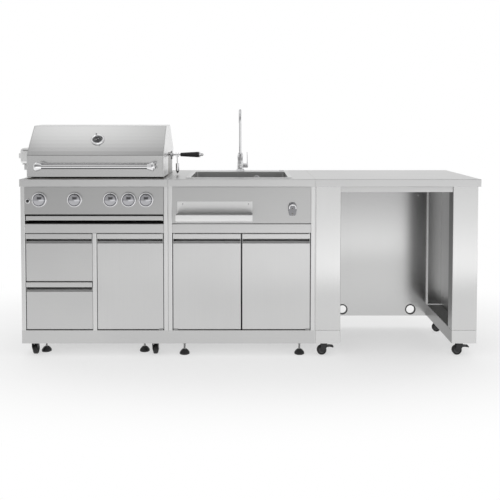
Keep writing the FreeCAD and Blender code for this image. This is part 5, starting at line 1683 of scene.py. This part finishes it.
@dataclass
class Table(Part):
    """The open table: two folded legs on base boxes, a back panel with cable grommets, and a front rail.

    Attributes:
        sheet: Sheet thickness.
        wide: Width of a leg.
        base: Top of the base boxes.
        liner: How far the liner stands inside the outer wall.
        folds: Widths of the front and rear folds on the open side.
        skin: How far the sheets of painted shade on the open sides stand out.
        back: Thickness of the back panel.
        spots: How far the grommets stand from the counter's left and right ends.
        grommet: Height of the grommets above the legs' feet.
        hole: Half the width of the panel's part with the hole, and its height.
        fold_rivets: Heights of the rivets in the rear folds.
        liner_rivets: Depth and height of the rivets in the liners.
        panel_rivets: How far the rivets in the panel stand from the legs, and their height.
    """

    sheet: float = 0.0015
    wide: float = 0.128
    base: float = 0.136
    liner: float = 0.044
    folds: Span = (0.070, 0.028)
    skin: float = 0.0004
    back: float = 0.012
    spots: Span = (0.209, 0.234)
    grommet: float = 0.037
    hole: Span = (0.032, 0.072)
    fold_rivets: Span = (0.517, 0.200)
    liner_rivets: Span = (0.178, 0.195)
    panel_rivets: Span = (0.055, 0.7755)

    def leg(self, name: str, low: Point, high: Point, opens_right: bool) -> None:
        """One leg.

        Args:
            name: What to call it.
            low: Its lowest corner.
            high: Its highest corner.
            opens_right: Whether its open side is at the right.
        """
        (x0, front, foot), (x1, rear, top) = low, high
        sheet, base = self.sheet, self.base
        opening, outer, way = (x1, x0, 1) if opens_right else (x0, x1, -1)
        plan = [(opening, front + self.folds[0]), (opening, front), (outer, front), (outer, rear),
                (opening, rear), (opening, rear - self.folds[1])]
        channel = folded(plan, 0.003, -way * sheet, (base + 0.0006, top - 0.0002), Axis.UP)
        self.shop.piece(name + "_channel", [channel], "leg")
        near, far = sorted((outer + way * self.liner, outer + way * (self.liner + sheet)))
        liner = board((near, front + 0.002, base + 0.001), (far, rear - 0.002, top - 0.001), 0.001, 0.0003)
        self.shop.piece(name + "_liner", [liner], "liner")
        left, right, start, end = x0 + sheet, x1 - sheet, front + sheet, rear - sheet
        shells = [square_tube(low, (x1, rear, base - 0.0006), 2, 0.004, sheet),
                  board((left, start, base - 0.0022), (right, end, base - 0.0007), 0.002, 0.0003)]
        for fore, aft in ((start, front + 0.120), (rear - 0.170, end)):
            shells.append(square_tube((left, fore, foot), (right, aft, foot + 0.016), 0, 0.002, 0.001))
        self.shop.piece(name + "_base", shells, "base")
        # Painted shade: thin dark sheets on the open side's base box and front fold, where shade falls inside
        # the leg.
        near, far = sorted((opening + way * self.skin, opening - way * sheet * 0.3))
        fold = front + self.folds[0]
        skins = [board((near, *start), (far, *end), 0.0005, 0.0001)
                 for start, end in (((front + 0.003, foot + 0.0005), (rear - 0.003, base - 0.001)),
                                    ((front + 0.0034, base + 0.002), (fold, top - 0.001)))]
        self.shop.piece(name + "_painted_shade_sheets", skins, "shade")

    def panel(self, start: float, end: float, spots: list[float]) -> None:
        """The back panel: plain plates between two parts with a round hole each.

        Args:
            start: Where it starts, at the left leg.
            end: Where it ends, at the right leg.
            spots: Where the holes are.
        """
        low, high = span("table_legs")
        foot, top, near = low[2], high[2] - 0.0002, high[1] - self.sheet
        far = near + self.back
        half, tall = self.hole
        edges = [start, *[x + side for x in spots for side in (-half, half)], end]
        shells = [board((left, near, foot), (right, far, top), 0.0003, 0.0002)
                  for left, right in zip(edges[::2], edges[1::2])]
        for x in spots:
            hole = rect(0.053, 0.053, 0.0265, (x, foot + self.grommet), 6)
            frame = rect(2 * half, tall, 0.0003, (x, foot + tall / 2), 6)
            rings = [(frame, 0), (hole, 0), (hole, -self.back), (frame, -self.back)]
            shells += [stacked(rings, Axis.FRONT, (0, near, 0), loop=True),
                       board((x - half, near, foot + tall), (x + half, far, top), 0.0003, 0.0002)]
        self.shop.piece("back_sheet", shells, "back", replaces=("table_legs", "table_back_panel"))

    def build(self) -> None:
        """Legs, back, rail, rivets and grommets."""
        low, high = span("table_legs")
        self.leg("left_leg", low, (low[0] + self.wide, high[1], high[2]), True)
        self.leg("right_leg", (high[0] - self.wide, low[1], low[2]), high, False)
        start, end = low[0] + self.wide, high[0] - self.wide
        left, right = span("table_counter")
        spots = [left[0] + self.spots[0], right[0] - self.spots[1]]
        self.panel(start, end, spots)
        near, top = high[1] - self.sheet, high[2]
        rail = square_tube((start, low[1] + 0.006, top - 0.030), (end, low[1] + 0.026, top - 0.0002), 0)
        self.shop.piece("table_front_rail", [rail], "panel")
        fold, cheek = high[1] - self.folds[1] / 2, self.liner + self.sheet
        side, rise = self.panel_rivets
        places = [((x, fold, z), axis) for x, axis in ((end, Axis.LEFT), (start, Axis.X))
                  for z in self.fold_rivets]
        places += [((high[0] - cheek, *self.liner_rivets), Axis.LEFT),
                   ((low[0] + cheek, *self.liner_rivets), Axis.X),
                   ((end - side, near, rise), Axis.FRONT), ((start + side, near, rise), Axis.FRONT)]
        head = [(0, -0.0003), (0.0042, -0.0003), (0.0042, 0.0006), (0.0026, 0.0018), (0, 0.0018)]
        rivets = [turned(head, [0.0001, 0.0003, 0.0012], axis, at, 20) for at, axis in places]
        self.shop.piece("table_rivets", rivets, "chrome", Slot.CHROME)
        ring = [(0.0240, 0), (0.0300, 0), (0.0308, 0.002), (0.0264, 0.002), (0.0264, 0.014), (0.0240, 0.014)]
        rings = [turned(ring, [0.0008, 0.0012, 0.0003, 0.0003, 0.0003, 0.0006], Axis.BACK,
                        (x, near - 0.002, low[2] + self.grommet), 48) for x in spots]
        self.shop.piece("cable_grommets", rings, "plastic", Slot.PLASTIC)


@dataclass
class Feet(Part):
    """Levelling feet and casters.

    Attributes:
        top: Height of the base above the floor.
        wheel: Radius of a wheel.
        wide: Width of a wheel.
        trail: How far the axle stands beside the kingpin.
        plate: Thickness of a top plate.
        plate_half: Half its width.
        cheek: Inner and outer distance of a fork's cheek from the wheel's side.
    """

    top: float = 0.068
    wheel: float = 0.025
    wide: float = 0.024
    trail: float = 0.014
    plate: float = 0.003
    plate_half: float = 0.023
    cheek: Span = (0.001, 0.0035)

    def foot(self, x: float, y: float) -> Shell:
        """A domed pad.

        Args:
            x: Its place along the row.
            y: Its place in depth.

        Returns:
            The pad.
        """
        dome = [(0, 0), (0.0245, 0), (0.026, 0.0012), (0.026, 0.006), (0.0255, 0.0085), (0.0225, 0.0135),
                (0.0185, 0.0185), (0.0145, 0.0225), (0.0105, 0.0250), (0.0070, 0.0262), (0.0, 0.0262)]
        return lathe(dome, Axis.UP, (x, y, 0), 40)

    def stem(self, x: float, y: float) -> Shell:
        """A threaded rod in its cup, over the pad.

        Args:
            x: Its place along the row.
            y: Its place in depth.

        Returns:
            The rod and the cup.
        """
        top = self.top
        threads = np.linspace(0.0275, top - 0.0145, 21)
        ridge = 0.0048 + 0.0005 * np.cos(np.arange(21) * math.pi)
        cup = [(0.0105, 0.014), (0.0115, 0.0135), (0.0155, 0.009), (0.0195, 0.004), (0.020, 0.003),
               (0.020, 0), (0, 0)]
        profile = [(0, 0.0255), (0.0055, 0.0255), *zip(ridge, threads), *((r, top - drop) for r, drop in cup)]
        return lathe(profile, Axis.UP, (x, y, 0), 40)

    def spots(self) -> list[Span]:
        """Where the feet stand, from the modules' edges.

        Returns:
            Each foot's x and y.
        """
        feet = []
        for node, insets in (("grill_counter", (0.106, 0.256, 0.100, 0.135)),
                             ("sink_counter", (0.062, 0.213, 0.079, 0.076))):
            (x0, y0, _), (x1, y1, _) = span(node)
            front, rear, left, right = insets
            feet += [(x, y) for y in (y0 + front, y1 - rear) for x in (x0 + left, x1 - right)]
        return feet

    def wheels(self, number: int, hub: np.ndarray, axis: Axis) -> None:
        """A caster's tyre and core.

        Args:
            number: Which caster, from 1.
            hub: The wheel's middle.
            axis: The wheel's directions.
        """
        r, wide, node = self.wheel, self.wide, f"caster_{number}"
        at = hub - wide / 2 * np.array(axis.value[2])
        tread = [(r - 0.0085, 0.0015), (r - 0.004, 0), (r, 0.004)]
        hollow = [(0.0031, 0.0008), (0.008, 0.0008), (0.0095, 0.0035), (r - 0.010, 0.0035),
                  (r - 0.0083, 0.0018)]
        tyre, core = (turned(half + [(size, wide - level) for size, level in half[::-1]], bends, axis, at, 48)
                      for half, bends in ((tread, [0.0005, 0.002, 0.003, 0.003, 0.002, 0.0005]),
                                          (hollow, 0.0004)))
        self.shop.piece(node + "_tyre", [tyre], "rubber", Slot.RUBBER, f"wheel_{number}", (node + "_wheel",))
        self.shop.piece(node + "_core", [core], "core", Slot.RUBBER, f"wheel_{number}")

    def caster(self, number: int) -> list[Shell]:
        """A caster's wheel and fork, and its brake pedal if it has one.

        Args:
            number: Which caster, from 1.

        Returns:
            Its plate and kingpin.
        """
        node = f"caster_{number}"
        low, high = span(node + "_wheel")
        hub = (low + high) / 2
        sideways = high[0] - low[0] > high[1] - low[1]
        axis = Axis.BACK if sideways else Axis.X
        x, y = (hub[0] + self.trail, hub[1]) if sideways else (hub[0], hub[1] - self.trail)
        self.wheels(number, hub, axis)
        r, half, head = self.wheel, self.wide / 2, self.top - self.plate - 0.0003
        fork = [turned([(0.0051, 0), (0.020, 0), (0.020, -0.003), (0.0165, -0.006), (0.0051, -0.006)],
                       [0.0003, 0.001, 0.002, 0.002, 0.0003], Axis.UP, (x, y, head), 40)]
        axle = -self.trail
        cheek = fillet([(axle - 0.009, r - 0.008), (axle + 0.010, r - 0.008), (0.013, head - 0.022),
                        (0.0135, head - 0.0015), (-0.0155, head - 0.0015), (axle - 0.009, r + 0.008)],
                       [0.008, 0.008, 0.006, 0.0015, 0.003, 0.006], True, 5)
        if not sideways:
            cheek = cheek[::-1] * np.array([-1, 1])
        for side in (-1, 1):
            near, far = sorted(side * (half + gap) * (-1 if sideways else 1) for gap in self.cheek)
            fork.append(slab(cheek, near, far, Axis.FRONT if sideways else Axis.X, (x, y, 0), 0.0006))
        way = np.array(axis.value[2], float)
        reach = half + 0.0045
        fork.append(rod(hub - way * reach, hub + way * reach, 0.003))
        for near in (-half - self.cheek[1] - 0.001, half + self.cheek[1]):
            fork.append(turned([(0.003, 0), (0.0048, 0), (0.0042, 0.001), (0.003, 0.001)], 0.0002, axis,
                               hub + way * near, 6))
        self.shop.piece(node + "_yoke", fork, "plastic", Slot.PLASTIC, f"fork_{number}", (node + "_fork",))
        if node + "_brake_pedal" in self.shop.frame["nodes"]:
            self.pedal(number, x, y)
        size = self.plate_half
        nut = [(0, 0), (0.008, 0), (0.0065, 0.002), (0, 0.002)]
        return [board((x - size, y - size, head + 0.0003), (x + size, y + size, self.top), 0.004, 0.0006),
                rod((x, y, head + 0.001), (x, y, head - 0.0075), 0.005),
                turned(nut, 0.0006, Axis.UP, (x, y, head - 0.0083), 24)]

    def pedal(self, number: int, pin_x: float, y: float) -> None:
        """The brake pedal: a curved blade on its pivot.

        Args:
            number: The caster's number.
            pin_x: The kingpin's place along the row.
            y: Its place in depth.
        """
        node, half = f"caster_{number}_brake_pedal", self.wide / 2
        x, z = pin_x - self.trail + 0.023, self.wheel + 0.022
        reach = span(node)[1][0] - x
        line = fillet([(0, 0.0005), (reach * 0.45, 0.0024), (reach * 0.8, 0.0005), (reach, -0.0026)],
                      [0.01, 0.01], False, 5)
        strip = np.vstack([line, offset(line, 0.0065, closed=False)[::-1]])
        blade = [(strip * scale, half * share)
                 for scale, share in ((0.995, -1), (1.0, -0.9), (1.0, 0.9), (0.995, 1))]
        shells = [stacked(blade, Axis.FRONT, (x, y, z))]
        for share in (0.62, 0.7, 0.78, 0.86):
            ends = [(x + reach * share, y + side * half * 0.8, z + 0.0012) for side in (-1, 1)]
            shells.append(rod(*ends, 0.0012, 0.0003, 8))
        shells += [rod((x, y - half, z), (x, y + half, z), 0.0045, steps=24),
                   rod((x, y - half - 0.0045, z), (x, y + half + 0.0045, z), 0.002)]
        self.shop.piece(f"caster_{number}_pedal", shells, "plastic", Slot.PLASTIC, f"pedal_{number}", (node,))

    def build(self) -> None:
        """All feet and casters."""
        pads = [self.foot(x, y) for x, y in self.spots()]
        self.shop.piece("levelling_feet", pads, "plastic", Slot.PLASTIC, replaces=("feet_and_caster_plates",))
        plates = [shell for number in range(1, 9) for shell in self.caster(number)]
        plates += [self.stem(x, y) for x, y in self.spots()]
        self.shop.piece("caster_plates", plates, "zinc", Slot.PLASTIC)


@dataclass
class Studio:
    """Floor, lights, world and camera.

    Attributes:
        camera_at: Where the photograph was taken from.
        pitch: How far the camera looks down, in degrees.
        focal: Focal length in pixels of the photograph.
        centre: The pixel that the camera points at.
        picture: The photograph's width and height in pixels.
        sensor: Width of the camera's sensor in millimetres.
    """

    camera_at: Point = (0.0449, -3.8640, 1.2203)
    pitch: float = 2.3
    focal: float = 707.0
    centre: Span = (250.0, 147.5)
    picture: int = 500
    sensor: float = 36.0

    def camera(self) -> None:
        """The camera: the photograph is a nearly level view, so most of its framing is shift."""
        data = bpy.data.cameras.new("camera")
        data.sensor_width = self.sensor
        data.lens = self.focal * self.sensor / self.picture
        data.shift_x = (self.picture / 2 - self.centre[0]) / self.picture
        data.shift_y = (self.centre[1] - self.picture / 2) / self.picture
        made = bpy.data.objects.new("camera", data)
        made.location = self.camera_at
        made.rotation_euler = (math.radians(90 - self.pitch), 0.0, 0.0)
        bpy.context.scene.collection.objects.link(made)
        bpy.context.scene.camera = made

    def lamp(self, name: str, at: Point, size: Span, watts: float, mirrored: bool) -> None:
        """A soft rectangular lamp that looks at the island's middle.

        Args:
            name: Its name.
            at: Where it stands.
            size: Its width and height.
            watts: Its power.
            mirrored: Whether polished parts show it.
        """
        data = bpy.data.lights.new(name, "AREA")
        data.shape = "RECTANGLE"
        data.size, data.size_y = size
        data.energy = watts
        made = bpy.data.objects.new(name, data)
        made.location = at
        way = np.subtract((0.0, 0.0, 0.5), at)
        flat = math.hypot(way[0], way[1])
        made.rotation_euler = (math.atan2(flat, -way[2]), 0.0, math.atan2(way[1], way[0]) - math.pi / 2)
        made.visible_glossy = mirrored
        bpy.context.scene.collection.objects.link(made)

    def world(self) -> None:
        """A white surround for the eye; metal sees soft bands.

        They are pale low down, dark above the horizon in front, and brighter overhead. Each band rises or
        falls between two values of the direction's x, y or z, and the number beside it is its strength.
        """
        world = bpy.data.worlds.new("studio")
        bpy.context.scene.world = world
        world.use_nodes = True
        graph = Graph(world.node_tree)
        path = graph.node("ShaderNodeLightPath", output="Is Camera Ray")
        rays = path.socket.node.outputs
        mirrored = Signal(graph, rays["Is Glossy Ray"])
        clear = Signal(graph, rays["Is Transmission Ray"])
        side, back, up = graph.parts(graph.node("ShaderNodeTexCoord", output="Generated"))
        front = (1.0 - back.between(-0.45, -0.10)) * (1.0 - (side * side).between(0.18, 0.42))
        low = (1.0 - up.between(-0.24, -0.08)) * 0.16
        dark_band = up.between(0.02, 0.09) * (1.0 - up.between(0.6, 0.74)) * front * 0.5
        fade = 0.2 - side.between(0.0, 0.25) * 0.2
        line = up.between(-0.08, -0.04) * (1.0 - up.between(0.0, 0.05)) * front * fade
        rightward = side.between(-0.40, 0.30) * (1.0 - up.between(0.05, 0.3)) * 0.32
        glow = up.between(-0.33, -0.23) * (1.0 - up.between(-0.20, -0.13)) * side.between(-0.38, 0.12) * 0.75
        behind = back.between(-0.1, 0.3) * (1.0 - up.between(0.2, 0.6)) * 0.2
        above = up.between(0.80, 0.93)
        bright = side.between(-0.42, -0.25) * (1.0 - side.between(-0.22, -0.06))
        rear = back.between(-0.30, 0.0)
        lift = bright * (rear * 0.35 + 0.12) + rear * 0.2
        overhead = above * (lift - side.between(-0.20, -0.04) * 0.08 - 0.2)
        seen = 0.65 + low + line + rightward + glow + behind + overhead - dark_band
        other = 1.0 - (path + mirrored + clear)
        total = path + clear + mirrored * seen + other * 0.9
        sky = graph.node("ShaderNodeBackground", {}, {"Color": (1, 1, 1, 1), "Strength": total})
        graph.node("ShaderNodeOutputWorld", {}, {"Surface": sky})

    def floor(self) -> None:
        """A pale floor that keeps the shadow near the island and fades to the white surround at its rim."""
        profile = [(0.0, 0.0), (1.5, 0.0), (4.2, 0.0), (4.2, -0.01), (0.0, -0.01)]
        disc = lathe(profile, Axis.UP, (0.0, 0.9, 0.0), 96)
        disc.points[:, 1] = np.maximum(disc.points[:, 1], -2.0)
        mesh = bpy.data.meshes.new("floor")
        mesh.from_pydata(disc.points.tolist(), [], disc.faces)
        made = bpy.data.objects.new("floor", mesh)
        bpy.context.scene.collection.objects.link(made)
        paint = bpy.data.materials.new("pale_floor")
        paint.use_nodes = True
        graph = Graph(paint.node_tree)
        x, y, _ = graph.parts(graph.place())
        away = (x * x * 0.6 + (y - 0.1) * (y - 0.1) * 2.4).power(0.5)
        matt = graph.node("ShaderNodeBsdfDiffuse", {}, {"Color": (0.92, 0.92, 0.92, 1)})
        white = graph.node("ShaderNodeEmission", {}, {"Color": (1, 1, 1, 1), "Strength": 1.0})
        path = graph.node("ShaderNodeLightPath", output="Is Glossy Ray")
        veil = 1.0 - (1.0 - away.between(1.0, 2.2)) * (0.5 - path * 0.35)
        mix = graph.node("ShaderNodeMixShader", {}, {0: veil, 1: matt, 2: white})
        graph.node("ShaderNodeOutputMaterial", {}, {"Surface": mix})
        mesh.materials.append(paint)

    def build(self) -> None:
        """The whole studio."""
        bpy.context.scene.view_settings.view_transform = "Standard"
        self.camera()
        self.world()
        self.floor()
        self.lamp("key", (-2.2, -3.6, 3.2), (3.0, 2.0), 12.0, False)
        self.lamp("top", (0.0, 0.3, 4.0), (4.0, 2.4), 6.0, True)


# Finishes of CAD nodes that keep their shape; the rest have the panel's.
KEPT_AS = {
    "control_panel": "controls",
    "firebox": "dark",
    "burners_and_tents": "dark",
    "gas_manifold": "dark",
    "cooking_grates": "iron",
}


def main() -> None:
    """Build the island round the frame."""
    logging.basicConfig(level=logging.INFO, format="%(message)s")
    for item in list(bpy.data.objects):
        bpy.data.objects.remove(item)
    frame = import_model()
    shop = Workshop(frame)
    for node in frame["nodes"]:
        shop.dress(node, KEPT_AS.get(node, "panel"))
    for part in (Counters, Fronts, Hood, Rotisserie, Controls, SinkAndFaucet, FrontFittings, Table, Feet):
        part(shop).build()
        log.info("%s built", part.__name__)
    Studio().build()


if __name__ == "__main__":
    main()
